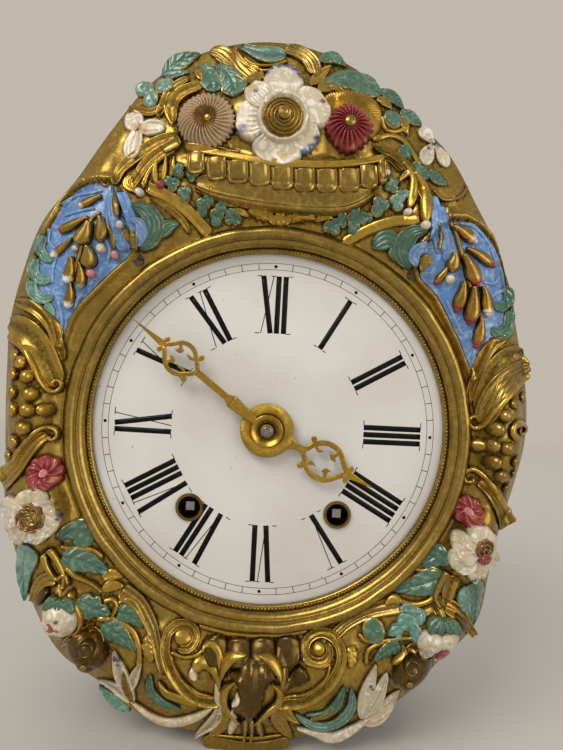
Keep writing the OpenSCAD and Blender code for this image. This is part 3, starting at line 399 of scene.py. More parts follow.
age, age_in, age_out = new_group(
    "age", {"Colour": COLOUR, "Light": COLOUR, "Tip": COLOUR, "Dark": COLOUR, "Bare": COLOUR,
            "Tip Start": FLOAT, "Wear": FLOAT, "Dirt And Shade": FLOAT, "Streak": FLOAT, "Rim": FLOAT},
    {"Colour": COLOUR, "Bare Mask": FLOAT, "Tip Mask": FLOAT, "Roughness": FLOAT, "Height": FLOAT})
place = wire(age, "TexCoord").outputs["Object"]
tone = noise(age, place, 70.0, Detail=3.0)
fine = noise(age, place, 520.0, Detail=4.0, Roughness=0.6)
rub = noise(age, place, 210.0, Detail=6.0, Roughness=0.7)
brush = noise(age, place, 130.0, Detail=2.0, Distortion=2.4)
dirt_and_shade, along, rim, dab = (mark_of(age, name) for name in ("dirt_and_shade", "along", "rim", "dab"))

loose = maths(age, "MULTIPLY", maths(age, "SUBTRACT", fine, 0.5), 0.7)
# This darkening towards Dark, in hollows and where parts meet the sheet, is dirt and painted shade.
recess = span(age, maths(age, "ADD", dirt_and_shade["Fac"], loose), 0.3, 0.9)
dirt_and_shade_share = maths(age, "MULTIPLY", recess, age_in["Dirt And Shade"])
ragged = maths(age, "ADD", along["Fac"], maths(age, "MULTIPLY", fine, 0.22))
tip_mask = wire(age, "MapRange", {"Value": maths(age, "SUBTRACT", ragged, age_in["Tip Start"]),
                                  "From Min": 0.05, "From Max": 0.17}).outputs["Result"]
streak = maths(age, "MULTIPLY", span(age, brush, 0.48, 0.66), age_in["Streak"])
painted = blend(age, tip_mask, blend(age, streak, age_in["Colour"], age_in["Light"]), age_in["Tip"])
hatch = maths(age, "MULTIPLY", dab["Alpha"], maths(age, "ADD", maths(age, "MULTIPLY", fine, 2.4), -0.2))
dabbed = blend(age, span(age, hatch, 0.2, 0.95), painted, dab["Color"])
aged = toned(age, dabbed, spread(age, tone, 0.82, 1.12))
rubbed = maths(age, "MULTIPLY", rim["Fac"], age_in["Rim"])
exposed = maths(age, "ADD", maths(age, "ADD", rub, age_in["Wear"]), rubbed)
worn = span(age, maths(age, "SUBTRACT", exposed, maths(age, "MULTIPLY", dirt_and_shade["Fac"], 0.25)), 0.86, 0.94)
bared = blend(age, worn, aged, age_in["Bare"])

age.links.new(blend(age, dirt_and_shade_share, bared, age_in["Dark"]), age_out["Colour"])
age.links.new(worn, age_out["Bare Mask"])
age.links.new(tip_mask, age_out["Tip Mask"])
age.links.new(maths(age, "ADD", maths(age, "MULTIPLY", recess, 0.25), spread(age, rub, 0.17, 0.38)),
              age_out["Roughness"])
age.links.new(maths(age, "ADD", maths(age, "MULTIPLY", fine, 0.5), rub), age_out["Height"])
print("ageing group with", len(age.nodes), "nodes")

# %% [markdown]
# The finishes of the face. Gilding is metal all over. Paint is metal only where it has rubbed through, so
# its Metallic comes from the wear mask. The little fruit pods are gilt at the root and painted at the tip.

# %% Face finishes
GOLD, GOLD_DARK, GOLD_PALE = rgb(196, 162, 74), rgb(42, 32, 14), rgb(224, 196, 116)
FACE_GRAIN, COAT_ROUGHNESS = 0.0004, 0.2
FINISH = {}


def dress(name, group, values, bump, grain):
    """A material that takes its colour, roughness and fine grain from a node group."""
    material, tree, shader = new_material(name)
    look = wire(tree, "Group", values, node_tree=group)
    tree.links.new(look.outputs["Colour"], shader.inputs["Base Color"])
    tree.links.new(look.outputs["Roughness"], shader.inputs["Roughness"])
    rough = wire(tree, "Bump", {"Strength": bump, "Distance": grain, "Height": look.outputs["Height"]})
    tree.links.new(rough.outputs["Normal"], shader.inputs["Normal"])
    FINISH[name] = material
    return tree, shader, look


# The dark colour and the strength that goes with it give hollows and joins their dirt and painted shade.
def finish(name, colour, light=None, tip=None, dark=GOLD_DARK, bare=GOLD, wear=0.2, dirt_and_shade_strength=0.95, metal="paint",
           tip_start=2.0, streak=0.6, rim=0.0, coat=0.0, bump=0.25, gloss=0.5):
    tree, shader, look = dress(name, age, {
        "Colour": colour, "Light": light or colour, "Tip": tip or colour, "Dark": dark, "Bare": bare,
        "Tip Start": tip_start, "Wear": wear, "Dirt And Shade": dirt_and_shade_strength, "Streak": streak, "Rim": rim}, bump, FACE_GRAIN)
    if metal == "paint":
        tree.links.new(look.outputs["Bare Mask"], shader.inputs["Metallic"])
    elif metal == "root":
        tree.links.new(maths(tree, "SUBTRACT", 1.0, look.outputs["Tip Mask"]), shader.inputs["Metallic"])
    else:
        shader.inputs["Metallic"].default_value = metal
    shader.inputs["Specular IOR Level"].default_value = gloss
    shader.inputs["Coat Weight"].default_value = coat
    shader.inputs["Coat Roughness"].default_value = COAT_ROUGHNESS


finish("gilt", rgb(178, 146, 64), rgb(206, 172, 82), bare=GOLD_PALE, wear=0.2, metal=0.92, rim=0.1)
# gilt_ground is a darker gilt, mostly for the sheet between the ornaments: partly duller gilding and partly
# painted shade between the raised parts.
finish("gilt_ground", rgb(156, 128, 58), rgb(190, 158, 76), wear=0.14, dirt_and_shade_strength=1.0, metal=0.92)
finish("antique", rgb(150, 124, 60), rgb(184, 156, 86), dark=rgb(46, 34, 18), bare=GOLD_PALE, wear=0.22,
       metal=0.85, rim=0.1)
finish("bronze", rgb(94, 74, 38), rgb(122, 98, 50), bare=rgb(176, 144, 72), wear=0.22, metal=0.88, rim=0.12)
finish("patina", rgb(150, 118, 82), rgb(180, 148, 98), dark=rgb(48, 34, 22), bare=rgb(206, 172, 108),
       wear=0.26, metal=0.82)
finish("tan", rgb(144, 110, 52), rgb(188, 152, 86), tip=rgb(204, 178, 144), dark=rgb(74, 48, 14),
       bare=rgb(214, 180, 116), wear=0.24, dirt_and_shade_strength=2.4, metal=0.35, tip_start=0.4)
finish("teal", rgb(62, 100, 78), rgb(104, 146, 120), dark=rgb(30, 36, 20), wear=0.18, rim=0.3, coat=0.7)
# teal_light is a lighter teal; on the large leaf of the right corner it is a painted highlight along its left
# side.
finish("teal_light", rgb(90, 134, 116), rgb(146, 186, 170), dark=rgb(38, 54, 36), wear=0.18, rim=0.3,
       coat=0.7)
finish("green_dark", rgb(62, 100, 76), rgb(96, 136, 106), dark=rgb(30, 30, 16), wear=0.22, rim=0.3, coat=0.5)
finish("blue", rgb(92, 132, 186), rgb(150, 184, 220), dark=rgb(58, 66, 70), wear=0.08, dirt_and_shade_strength=0.7, streak=0.8,
       rim=0.2, coat=0.3)
# blue_light is a lighter blue; on the ridges of the panels it is a painted highlight.
finish("blue_light", rgb(118, 152, 196), rgb(164, 188, 216), dark=rgb(58, 66, 70), wear=0.16, streak=0.8,
       rim=0.1, coat=0.3)
finish("white", rgb(206, 190, 158), rgb(238, 232, 218), bare=rgb(206, 170, 104), dark=rgb(112, 84, 46),
       wear=0.12, dirt_and_shade_strength=0.8, streak=0.9, rim=0.1, coat=0.5)
finish("cream", rgb(204, 184, 146), rgb(230, 218, 194), bare=rgb(198, 160, 86), dark=rgb(98, 72, 38),
       wear=0.18, dirt_and_shade_strength=0.85, streak=0.9, rim=0.14, coat=0.4)
finish("crimson", rgb(140, 40, 42), rgb(176, 74, 70), bare=rgb(176, 116, 66), dark=rgb(52, 16, 14),
       wear=0.16, rim=0.1, coat=0.6)
finish("pink", rgb(196, 118, 112), rgb(222, 160, 150), bare=rgb(206, 150, 84), dark=rgb(84, 38, 32),
       wear=0.16, coat=0.5)
for name, tip_colour, start in (("cream", rgb(228, 212, 184), 0.84), ("white", rgb(230, 228, 224), 0.76),
                                ("red", rgb(160, 50, 48), 0.86), ("teal", rgb(140, 166, 158), 0.84)):
    finish("pod_" + name, rgb(156, 124, 58), rgb(190, 156, 76), tip=tip_colour, metal="root", tip_start=start)
DABS = {"navy": rgb(40, 52, 92), "sky": rgb(108, 140, 196), "yellow": rgb(200, 168, 96),
        "red": rgb(164, 52, 48), "orange": rgb(196, 140, 80), "brown": rgb(112, 74, 34),
        "rose": rgb(206, 130, 122)}
print(len(FINISH), "face finishes")

# %% [markdown]
# The ornament is stamped, so each leaf, petal or scroll is a raised form whose edge sinks into the sheet.
# One builder makes all the long ones: a flat grid is extruded into a front and a back, then bent along a
# smooth path and given a width and a section. A die cutter works in the same way, with a few punches used
# again and again.

# %% Strip builder
def edge_round(s, start):
    """1 up to start, then a quarter circle down to 0 at 1."""
    return np.sqrt(np.clip(1 - (np.clip(s - start, 0, None) / (1 - start)) ** 2, 0, 1))


def tray(e):
    """A plump panel inside a raised bead; e is 0 in the middle and 1 at the edge."""
    bead, ditch = np.exp(-((e - 0.88) / 0.09) ** 2), np.exp(-((e - 0.7) / 0.07) ** 2)
    return 0.85 - 0.45 * e ** 2 + 0.34 * bead - 0.22 * ditch


# Half width along a part, as a share of the given one: u is 0 at the root and 1 at the tip
WIDTHS = {
    "leaf": lambda u: np.sin(math.pi * u ** 0.8) ** 0.85,
    "petal": lambda u: np.where(u < 0.6, 0.3 + 0.7 * ease(u / 0.6), 1) * edge_round(u, 0.55),
    "drop": lambda u: np.where(u < 0.66, 0.42 + 0.58 * ease(u / 0.66), 1) * edge_round(u, 0.66),
    "band": lambda u: edge_round(np.abs(2 * u - 1), 0.86),
    "tongue": lambda u: np.sqrt(np.clip(1 - np.abs(2 * u - 1) ** 4, 0, 1)),
    "horn": lambda u: (0.15 + 0.85 * u ** 0.8) * edge_round(u, 0.82),
    "tail": lambda u: (1 - u) ** 0.7 * edge_round(1 - u, 0.9),
    "crescent": lambda u: np.sin(math.pi * u) ** 0.7,
    "round": lambda u: (0.62 + 0.38 * ease(u / 0.45)) * edge_round(u, 0.45),
    "gadroon": lambda u: (1 - np.clip(2 * u - 1, 0, 1) ** 5) ** 0.2,
    "ribbon": lambda u: (1 - 0.5 * u) * edge_round(np.abs(2 * u - 1), 0.9),
    "heart": lambda u: edge_round(1 - u, 0.7) * (1 - u ** 1.6) ** 0.9,
    "square": lambda u: np.ones_like(u),
    "spear": lambda u: 1 - u,
    "wedge": lambda u: 0.45 + 0.55 * u,
    "fillet": lambda u: (1 - u) ** 2,
}
# Height over a part, as a share of the given one: v runs from -1 to 1 across it, and n counts veins or
# flutes
SECTIONS = {
    "dome": lambda u, v, n: np.sqrt(np.clip(1 - v ** 2, 0, 1)),
    "leaf": lambda u, v, n: (1 - 0.6 * np.exp(-(v / 0.12) ** 2) - 0.3 * v ** 2
                             - 0.42 * (0.5 + 0.5 * np.cos(6.28 * (n * u - 1.1 * np.abs(v)))) ** 3
                             * ease(np.abs(v) * 4)),
    "cup": lambda u, v, n: ((0.3 + 0.7 * np.abs(v) ** 1.7 + 0.1 * np.cos(n * math.pi * v))
                            * (0.55 + 0.45 * ease(u * 1.6))),
    "flute": lambda u, v, n: (0.3 + 0.7 * np.abs(np.sin(n * math.pi * (v + 1) / 2))) * (1 - 0.35 * v ** 2),
    "strap": lambda u, v, n: 0.35 + 0.65 * np.exp(-((np.abs(v) - 0.72) / 0.2) ** 2),
    "frill": lambda u, v, n: (0.42 + 0.4 * np.abs(v) ** 1.7 + 0.18 * ease(u * 1.5)
                              - 0.3 * (0.5 + 0.5 * np.cos(n * math.pi * v)) ** 2
                              * (1 - ease((u - 0.1) / 0.6))),
    "hollow": lambda u, v, n: 0.12 + 0.88 * np.abs(v) ** 2.2,
    "bowl": lambda u, v, n: 0.3 + 0.7 * np.exp(-((v + 0.66) / 0.2) ** 2) + 0.5 * np.clip(v, 0, 1) ** 2,
    "sweep": lambda u, v, n: 0.3 + 0.7 * np.abs(v) ** 2.6 + 0.16 * np.cos(n * math.pi * v) * (1 - v ** 2),
    "panel": lambda u, v, n: tray((v ** 4 + np.clip(2 * u - 1, 0, 1) ** 4) ** 0.25),
    "flat": lambda u, v, n: np.ones_like(v),
}
MARKS = ("dirt_and_shade", "along", "rim")
# How far an edge and a back go below the sheet, the size of a cell, where the ends and the bright rim
# start, and the height below which a vertex counts as an edge
TUCK, BACK = 0.5, 0.95
CELL_LONG, CELL_WIDE = 0.9, 0.25
END_START, BRIGHT_START, BRIGHT_W = 0.93, 0.74, 0.16
EDGE_BAND = 0.3
PATH_STEPS, PATH_POINTS = 24, 60
EDGES = []


def smooth_path(points):
    """Points along a smooth curve through the given ones, evenly spaced."""
    p = np.array(points, float)
    ends = np.vstack([2 * p[0] - p[1], p, 2 * p[-1] - p[-2]])
    steps = np.linspace(0, 1, PATH_STEPS, endpoint=False)[:, None]
    curve = np.vstack([through(*four, steps) for four in zip(ends, ends[1:], ends[2:], ends[3:])] + [p[-1:]])
    length = np.concatenate([[0], np.cumsum(np.hypot(*np.diff(curve, axis=0).T))])
    even = np.linspace(0, length[-1], PATH_POINTS)
    return np.stack([np.interp(even, length, curve[:, k]) for k in (0, 1)], 1), length[-1]


def blank():
    """An empty bmesh that can carry the marks."""
    bm = bmesh.new()
    for mark in MARKS:
        bm.verts.layers.float.new(mark)
    bm.verts.layers.float_color.new("dab")
    return bm


class Relief:
    """One piece of the face, gathered from many stamped parts."""

    def __init__(self, name):
        self.name, self.bm, self.finishes, self.parts = name, bmesh.new(), [], 0

    def take(self, bm, name):
        if name not in self.finishes:
            self.finishes.append(name)
        bmesh.ops.recalc_face_normals(bm, faces=bm.faces)
        for face in bm.faces:
            face.smooth = True
            face.material_index = self.finishes.index(name)
        mesh = bpy.data.meshes.new("part")
        bm.to_mesh(mesh)
        bm.free()
        self.bm.from_mesh(mesh)
        bpy.data.meshes.remove(mesh)
        self.parts += 1

    def done(self, body="frame", slot="embossed_brass"):
        mesh = bpy.data.meshes.new(self.name)
        self.bm.to_mesh(mesh)
        self.bm.free()
        piece = bpy.data.objects.new(self.name, mesh)
        for name in self.finishes:
            mesh.materials.append(FINISH[name])
        bpy.context.scene.collection.objects.link(piece)
        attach(piece, body)
        print(self.name, self.parts, "parts,", len(mesh.polygons), "faces")
        return piece


def shell(bm):
    """Extrudes a flat patch; returns the vertices of its front and its back."""
    made = bmesh.ops.extrude_face_region(bm, geom=list(bm.faces))["geom"]
    front = [g for g in made if isinstance(g, bmesh.types.BMVert)]
    chosen = set(front)
    return front, [v for v in bm.verts if v not in chosen]


def settle(bm, verts, x, z, d, dirt_and_shade=0.0, along=0.0, dabs="", rim=0.0):
    """Moves vertices to their place on the face and leaves the marks that the finishes read."""
    layers = [bm.verts.layers.float[m] for m in MARKS]
    marks = [np.broadcast_to(mark, len(verts)) for mark in (dirt_and_shade, along, rim)]
    paint = bm.verts.layers.float_color["dab"]
    strength, colour = np.zeros(len(verts)), np.zeros((len(verts), 4))
    for (name,), (radius,), (centre,), _ in read(dabs):
        cx, cz = spot(*centre)
        near = np.exp(-((x - cx) ** 2 + (z - cz) ** 2) / radius ** 2)
        colour[near > strength] = DABS[name]
        strength = np.maximum(strength, near)
    colour[:, 3] = strength
    for i, v in enumerate(verts):
        v.co = (x[i] * MM, PLATE_Y - d[i] * MM, CENTRE_Z + z[i] * MM)
        v[paint] = colour[i]
        for layer, mark in zip(layers, marks):
            v[layer] = mark[i]


def strip(relief, name, half, path, width="leaf", section="leaf", lift=0.5, height=2.0, n=5, lobes=0,
          lobe=0.22, base=sheet_depth, dabs="", edge=0.82, mm=False, tuck=TUCK, back=BACK, cells=None):
    """A leaf, petal, pod, band or scroll along a path of photograph pixels, or of millimetres on the face
    where mm is true; half is its half width in mm."""
    line, length = smooth_path(path if mm else [spot(*p) for p in path])
    s, slope = np.linspace(0, 1, len(line)), np.gradient(line, axis=0)
    bm = blank()
    nu, nv = cells or (int(np.clip(length / CELL_LONG, 10, 70)), int(np.clip(half / CELL_WIDE, 12, 38)))
    bmesh.ops.create_grid(bm, x_segments=nu, y_segments=nv, size=1.0)
    face, rear = shell(bm)
    for verts, is_front in ((face, True), (rear, False)):
        co = np.array([v.co for v in verts])
        u, v = (co[:, 0] + 1) / 2, np.sin(co[:, 1] * math.pi / 2)
        at = np.stack([np.interp(u, s, line[:, 0]), np.interp(u, s, line[:, 1])], 1)
        side = np.stack([np.interp(u, s, -slope[:, 1]), np.interp(u, s, slope[:, 0])], 1)
        side /= np.hypot(side[:, 0], side[:, 1])[:, None] + 1e-9
        w = WIDTHS[width](u)
        h = SECTIONS[section](u, v, n)
        if lobes:
            w = w * (1 - lobe + lobe * np.abs(np.sin(math.pi * lobes * u)) * 2)
            h = h - 0.3 * np.abs(np.cos(math.pi * (lobes * u - 0.5 * np.abs(v)))) ** 6 * ease(np.abs(v) * 3)
        x, z = (at + side * (half * w * v)[:, None]).T
        e = edge_round(np.abs(v), edge) * edge_round(np.abs(2 * u - 1), END_START)
        ground = base(x, z)
        if is_front:
            d = ground + e * (lift + height * h) - tuck * (1 - e)
            # The mark is dirt and painted shade: darkest along the edge, where the part meets the sheet, and
            # in the low parts of its section.
            mark = np.clip(0.95 * (1 - e) + 1.3 * np.clip(0.62 - h, 0, 1), 0, 1)
            EDGES.append(np.stack([x, z], 1)[e < EDGE_BAND])
        else:
            d, mark = ground - back, 1.0
        settle(bm, verts, x, z, d, mark, u, dabs, ease((np.abs(v) - BRIGHT_START) / BRIGHT_W))
    relief.take(bm, name)


print("widths:", ", ".join(WIDTHS), "- sections:", ", ".join(SECTIONS))

# %% [markdown]
# Flowers, fruit and rosettes are round, so their builder spins a straight row of edges about the centre,
# merges the middle, and then shapes the disc by angle and radius. The same disc makes a grape, a daisy, a
# rose or an ivy leaf.

# %% Disc builder
def spun(points, steps, closed=False):
    """A blank with a row of points (radius, height) joined up and spun once round."""
    bm = blank()
    row = [bm.verts.new((r, 0, h)) for r, h in points]
    edges = [bm.edges.new(pair) for pair in zip(row, row[1:] + (row[:1] if closed else []))]
    bmesh.ops.spin(bm, geom=row + edges, cent=(0, 0, 0), axis=(0, 0, 1), angle=2 * math.pi, steps=steps,
                   use_merge=True)
    return bm


def polar(verts):
    """Radius, angle clockwise from the top and height of vertices about the axis of a spin."""
    co = np.array([v.co for v in verts])
    return np.hypot(co[:, 0], co[:, 1]), np.arctan2(co[:, 0], co[:, 1]), co[:, 2]


def flat(rho, theta):
    return np.ones_like(rho)


def half_ball(rho, theta):
    return np.sqrt(np.clip(1 - rho ** 2, 0, 1))


def bloom(relief, name, centre, radius, height, form=half_ball, edge=None, turn=0.0, squash=1.0, lift=0.3,
          rings=9, steps=28, dabs="", rim=0.9, up=0.0):
    """A round form about a pixel of the photograph; radius and height are in mm, turn in degrees clockwise.
    The pixel is read up mm above the sheet, for a form that stands high."""
    cx, cz = landing(*centre, lambda x, z: sheet_depth(x, z) + up)
    c, s = math.cos(math.radians(turn)), math.sin(math.radians(turn))
    bm = spun([(k / rings, 0) for k in range(rings + 1)], steps)
    bmesh.ops.remove_doubles(bm, verts=bm.verts, dist=1e-5)
    face, rear = shell(bm)
    for verts, is_front in ((face, True), (rear, False)):
        rho, theta, _ = polar(verts)
        rho = np.sin(rho * math.pi / 2) ** 0.9
        reach = radius * rho * (edge(theta) if edge else 1)
        across, out = reach * np.sin(theta) * squash, reach * np.cos(theta)
        x, z = cx + across * c + out * s, cz + out * c - across * s
        e = edge_round(rho, rim)
        ground = sheet_depth(x, z)
        if is_front:
            h = form(rho, theta)
            d = ground + e * (lift + height * h) - TUCK * (1 - e)
            # The mark is dirt and painted shade: darkest at the rim, where the disc meets the sheet, and in
            # the low parts of any form but a plain ball.
            mark = np.clip(0.9 * (1 - e) + 1.2 * np.clip(0.55 - h, 0, 1) * (form is not half_ball), 0, 1)
            EDGES.append(np.stack([x, z], 1)[e < EDGE_BAND])
        else:
            d, mark = ground - BACK, 1.0
        settle(bm, verts, x, z, d, mark, rho, dabs, ease((rho - BRIGHT_START) / BRIGHT_W))
    relief.take(bm, name)


def ribs(count, depth, twist=0.0, body=0.45):
    """Petals as ridges round a disc; twist curls the ridges and body swells them between middle and rim."""
    def form(rho, theta):
        ridge = np.abs(np.cos(count * (theta + twist * rho) / 2))
        return (1 - depth + depth * ridge) * (1 - body + body * np.sin(math.pi * rho ** (0.8 + 0.4 * body)))
    return form


def scallop(count, depth):
    return lambda theta: 1 - depth + depth * np.abs(np.cos(count * theta / 2))


def swirl(turns, arms, depth):
    """A rolled bud: the height winds out from the middle."""
    def form(rho, theta):
        wave = 0.5 + 0.5 * np.sin(arms * theta + turns * 6.28 * rho)
        return ((1 - depth) + depth * wave) * (1.05 - 0.45 * rho)
    return form


def ring_at(middle, width):
    """A raised ring at a share of the radius."""
    return lambda rho, theta: np.exp(-((rho - middle) / width) ** 2)


def ivy(theta):
    """A five-lobed leaf outline, its tip up."""
    stalk = np.exp(-(np.abs(theta) - math.pi) ** 2 / 0.1)
    return 0.55 + 0.45 * np.abs(np.cos(1.25 * theta)) ** 0.8 - 0.12 * stalk


def ivy_veins(rho, theta):
    vein = np.exp(-(np.sin(1.25 * theta) / 0.16) ** 2)
    return 0.55 + 0.45 * np.sin(math.pi * np.clip(rho, 0, 1)) - 0.35 * vein * ease(rho * 3)


print("disc builder ready")

# %% [markdown]
# A small stock of punches: each kind of part has its usual width, section and height. The tables that
# follow give the kind, the finish, the half width in millimetres and the line that the part follows in the
# photograph, from root to tip. An option at the end of a row changes one of the usual values.

# %% Punches
KINDS = {kind: usual for (kind,), _, _, usual in read("""
leaf width=leaf section=leaf height=1.8 lift=0.5
broad width=drop section=leaf height=1.8 lift=0.5
petal width=petal section=cup height=1.6 lift=0.8 n=3
pod width=drop section=dome height=2.6 lift=0.3
bar width=band section=dome height=1.7 lift=0.2
strap width=band section=strap height=1.7 lift=0.4
plume width=leaf section=flute height=1.9 lift=0.3 n=4
fluted width=band section=flute height=1.9 lift=0.3 n=3
tongue width=tongue section=dome height=3.0 lift=0.4
horn width=horn section=dome height=2.4 lift=0.3
tail width=tail section=flute height=2.2 lift=0.4 n=3
crescent width=crescent section=dome height=2.4 lift=0.3
heart width=heart section=leaf height=2.0 lift=0.5
ribbon width=ribbon section=dome height=2.8 lift=0.6
scroll width=ribbon section=hollow height=2.8 lift=0.8
sweep width=ribbon section=sweep height=3.0 lift=0.4 n=3
channel width=tongue section=hollow height=2.6 lift=0.3
frond width=leaf section=leaf height=2.3 lift=0.5 lobes=5 n=5
""")}


def punch(relief, kind, name, half, path, dabs="", **extra):
    strip(relief, name, half, path, dabs=dabs, **{**KINDS[kind], **extra})


def stamp(relief, table, dabs=""):
    """Punches all the rows of a table."""
    for (kind, name), (half,), path, extra in read(table):
        punch(relief, kind, name, half, path, dabs, **extra)


def coil(centre, outer, inner, start, turns):
    """Pixels of a spiral that winds in; angles run clockwise from the top as the photograph shows them."""
    t = np.linspace(0, 1, 10 + int(abs(turns) * 14))
    angle = np.radians(start + 360 * turns * t)
    r = outer + (inner - outer) * t
    return [(centre[0] + a * math.sin(b), centre[1] - a * math.cos(b)) for a, b in zip(r, angle)]


def spokes(centre, rows, root):
    """Petal lines round a centre: rows of angle, tip radius in pixels and half width in mm."""
    lines = []
    for angle, tip, half in rows:
        s, c = math.sin(math.radians(angle)), math.cos(math.radians(angle))
        lines.append((half, [(centre[0] + r * s, centre[1] - r * c) for r in (root, (root + tip) / 2, tip)]))
    return lines


print(len(KINDS), "punches")

# %% [markdown]
# The crest begins with the basket: a smooth bowl, a flat rim band and between them a row of gadroons, which
# are plump panels with a raised bead round three sides. Each gadroon is one punch, set a little further
# along the curve.

# %% Basket
RIM_PX = "183,149 219,155 245,160 278,165 322,166.5 351,165 373,162 386,158"
BOWL_PX = "194,184 215,188 240,192 275,197 310,200 345,200 374,191"
BASKET_BARS = """
bar gilt 1 222,205 252,208 289,212 330,215 350,213 height=1.2
bar gilt 0.9 183,143 219,148 240,152 height=1.2
"""
# Gadroons: half width in mm, pixel of the middle
GADROONS = """
4.6 197,163; 5.2 217.2,169; 5.5 238.4,172; 5.3 260,174.5; 5.6 282.4,178.5; 5.3 304.5,180.5; 5.3 326.5,181
5.4 348.5,180.5; 4.6 368,177; 2.2 381,172
"""
# What a gadroon's half width is multiplied by, and how many pixels it leans and goes above and below its
# middle
GADROON_FILL, LEAN_PX, ABOVE_PX, BELOW_PX = 1.15, 0.4, 10.5, 14
BASKET_FOOT = """
frond gilt 3.6 280,228 280,218 280,207 lobes=3
frond gilt 3 270,220 259,214 247,212 lobes=3
frond gilt 3.2 290,222 302,216 316,220 lobes=3
plume gilt 2.4 276,226 270,216 272,208 n=3
plume gilt 2.4 284,226 290,217 288,208 n=3
plume gilt 1.8 250,217 240,212 230,211
plume gilt 1.8 314,222 324,218 334,219
"""

basket = Relief("basket")
strip(basket, "antique", 8.9, pixels(BOWL_PX), width="tongue", section="bowl", lift=0.8, height=3.6)
strip(basket, "gilt", 2.5, pixels(RIM_PX), width="band", section="flat", lift=3.2, height=1.2, edge=0.7)
stamp(basket, BASKET_BARS)
strip(basket, "bronze", 7.0, pixels(GADROONS), width="band", section="flat", lift=1.4, height=1.4, edge=0.6)
for _, (half,), ((px, py),), _ in read(GADROONS):
    strip(basket, "antique", half * GADROON_FILL,
          [(px - LEAN_PX, py - ABOVE_PX), (px + LEAN_PX, py + BELOW_PX)], width="gadroon", section="panel",
          lift=1.6, height=3.4, cells=(26, 22))
stamp(basket, BASKET_FOOT)
basket.done()

# %% [markdown]
# The large white flower leads the crest. Its petals are cupped and overlap, so they are stamped one after
# another with a little more lift each time, and the rose in the middle is one disc whose height winds round
# like a rolled leaf. The paint dabs on it, as on all the flowers, are rows of paint, radius in millimetres
# and pixel.

# %% White flower of the crest
FLOWER_PX, ROSE_PX, ROSE_HEART_PX = (283.5, 119), (283.5, 119.5), (284.5, 117.5)
# The white crescent is a painted highlight: a glossy patch on the inner face of the ring, at its upper left.
FLOWER_GLINT = "crescent white 2.6 266,110 268,102 276,98 lift=5.4 height=1.6"
# Petals: angle clockwise from the top, pixels to the tip, half width in mm
FLOWER_PETALS = [(68, 46, 13.6), (268, 48, 12.2), (132, 44, 9.0), (192, 49, 14.4), (312, 46, 8.6),
                 (0, 51, 11.6)]
PETAL_ROOT_PX, FIRST_LIFT, LIFT_STEP = 17, 1.8, 0.25
FLOWER_DABS = """
navy 3.2 266,77; navy 3.8 270,72; navy 4 277,69.5; navy 4 284,68.5; navy 3.8 291,70; navy 3.6 297,74
navy 3.2 301,80; navy 3.8 240,101; navy 3.6 242,132; yellow 2 247,134; navy 3.2 318,143; navy 3.4 312,151
sky 2.8 305,155; yellow 2.8 284,160; yellow 3.4 251,90; brown 1.8 256,95; yellow 2.2 259,87; brown 2 322,104
"""


def waved_ring(rho, theta):
    """A raised and slightly waved ring round a hollow."""
    return 0.3 + 0.7 * ring_at(0.86, 0.1)(rho, theta) + 0.04 * np.sin(11 * theta)


flower = Relief("crest_flower")
for k, (half, path) in enumerate(spokes(FLOWER_PX, FLOWER_PETALS, PETAL_ROOT_PX)):
    strip(flower, "white", half, path, width="round", section="frill", lift=FIRST_LIFT + LIFT_STEP * k,
          height=3.0, n=9, dabs=FLOWER_DABS)
bloom(flower, "white", FLOWER_PX, 15.2, 4.6, form=waved_ring, lift=2.0, rings=16, steps=72, rim=0.94)
bloom(flower, "antique", ROSE_PX, 12.4, 5.2, form=swirl(6.2, 1, 0.45), lift=2.0, rings=40, steps=90)
bloom(flower, "antique", ROSE_HEART_PX, 4.0, 2.0, form=swirl(2.2, 1, 0.5), lift=6.0, rings=14, steps=40)
stamp(flower, FLOWER_GLINT)
flower.done()

# %% [markdown]
# Two daisies stand beside it. The left one has lost its paint and the right one is crimson over a gilt fan.
# Their many narrow petals are curled ridges on one disc, which rise from a hollow middle and fall away to
# the rim.

# %% Daisies of the crest
TAN_PX, TAN_HEART_PX = (206, 119.5), (208.5, 119.5)
FAN_PX, CRIMSON_PX, CRIMSON_HEART_PX = (352, 113), (349.5, 125), (350, 123)
CRIMSON_DABS = "rose 2.6 332,148; rose 2.6 367,144; rose 1.4 352,150"


def crimson_edge(theta):
    return scallop(22, 0.07)(theta) * (1 + 0.06 * np.cos(4 * theta) - 0.07 * np.cos(theta))


daisies = Relief("crest_daisies")
bloom(daisies, "tan", TAN_PX, 17.2, 5.0, form=ribs(32, 0.75, twist=0.6, body=0.8), edge=scallop(32, 0.05),
      lift=1.6, rings=20, steps=320)
bloom(daisies, "gilt", TAN_HEART_PX, 2.7, 1.8, lift=2.4)
bloom(daisies, "gilt", FAN_PX, 18.5, 2.4, form=ribs(58, 0.6), edge=scallop(58, 0.02), lift=0.6, rings=12,
      steps=290)
bloom(daisies, "crimson", CRIMSON_PX, 14.4, 4.4, form=ribs(22, 0.7, twist=0.25, body=0.75), edge=crimson_edge,
      squash=0.95, lift=2.0, rings=18, steps=264, dabs=CRIMSON_DABS)
bloom(daisies, "antique", CRIMSON_HEART_PX, 4.0, 2.4, lift=3.0)
daisies.done()

# %% [markdown]
# Painted leaves and gilt plumes close the crest round the flowers, and run out over the rim, so they give
# the top edge its outline. Leaves have a midrib and side veins; plumes are ribbed along their length.

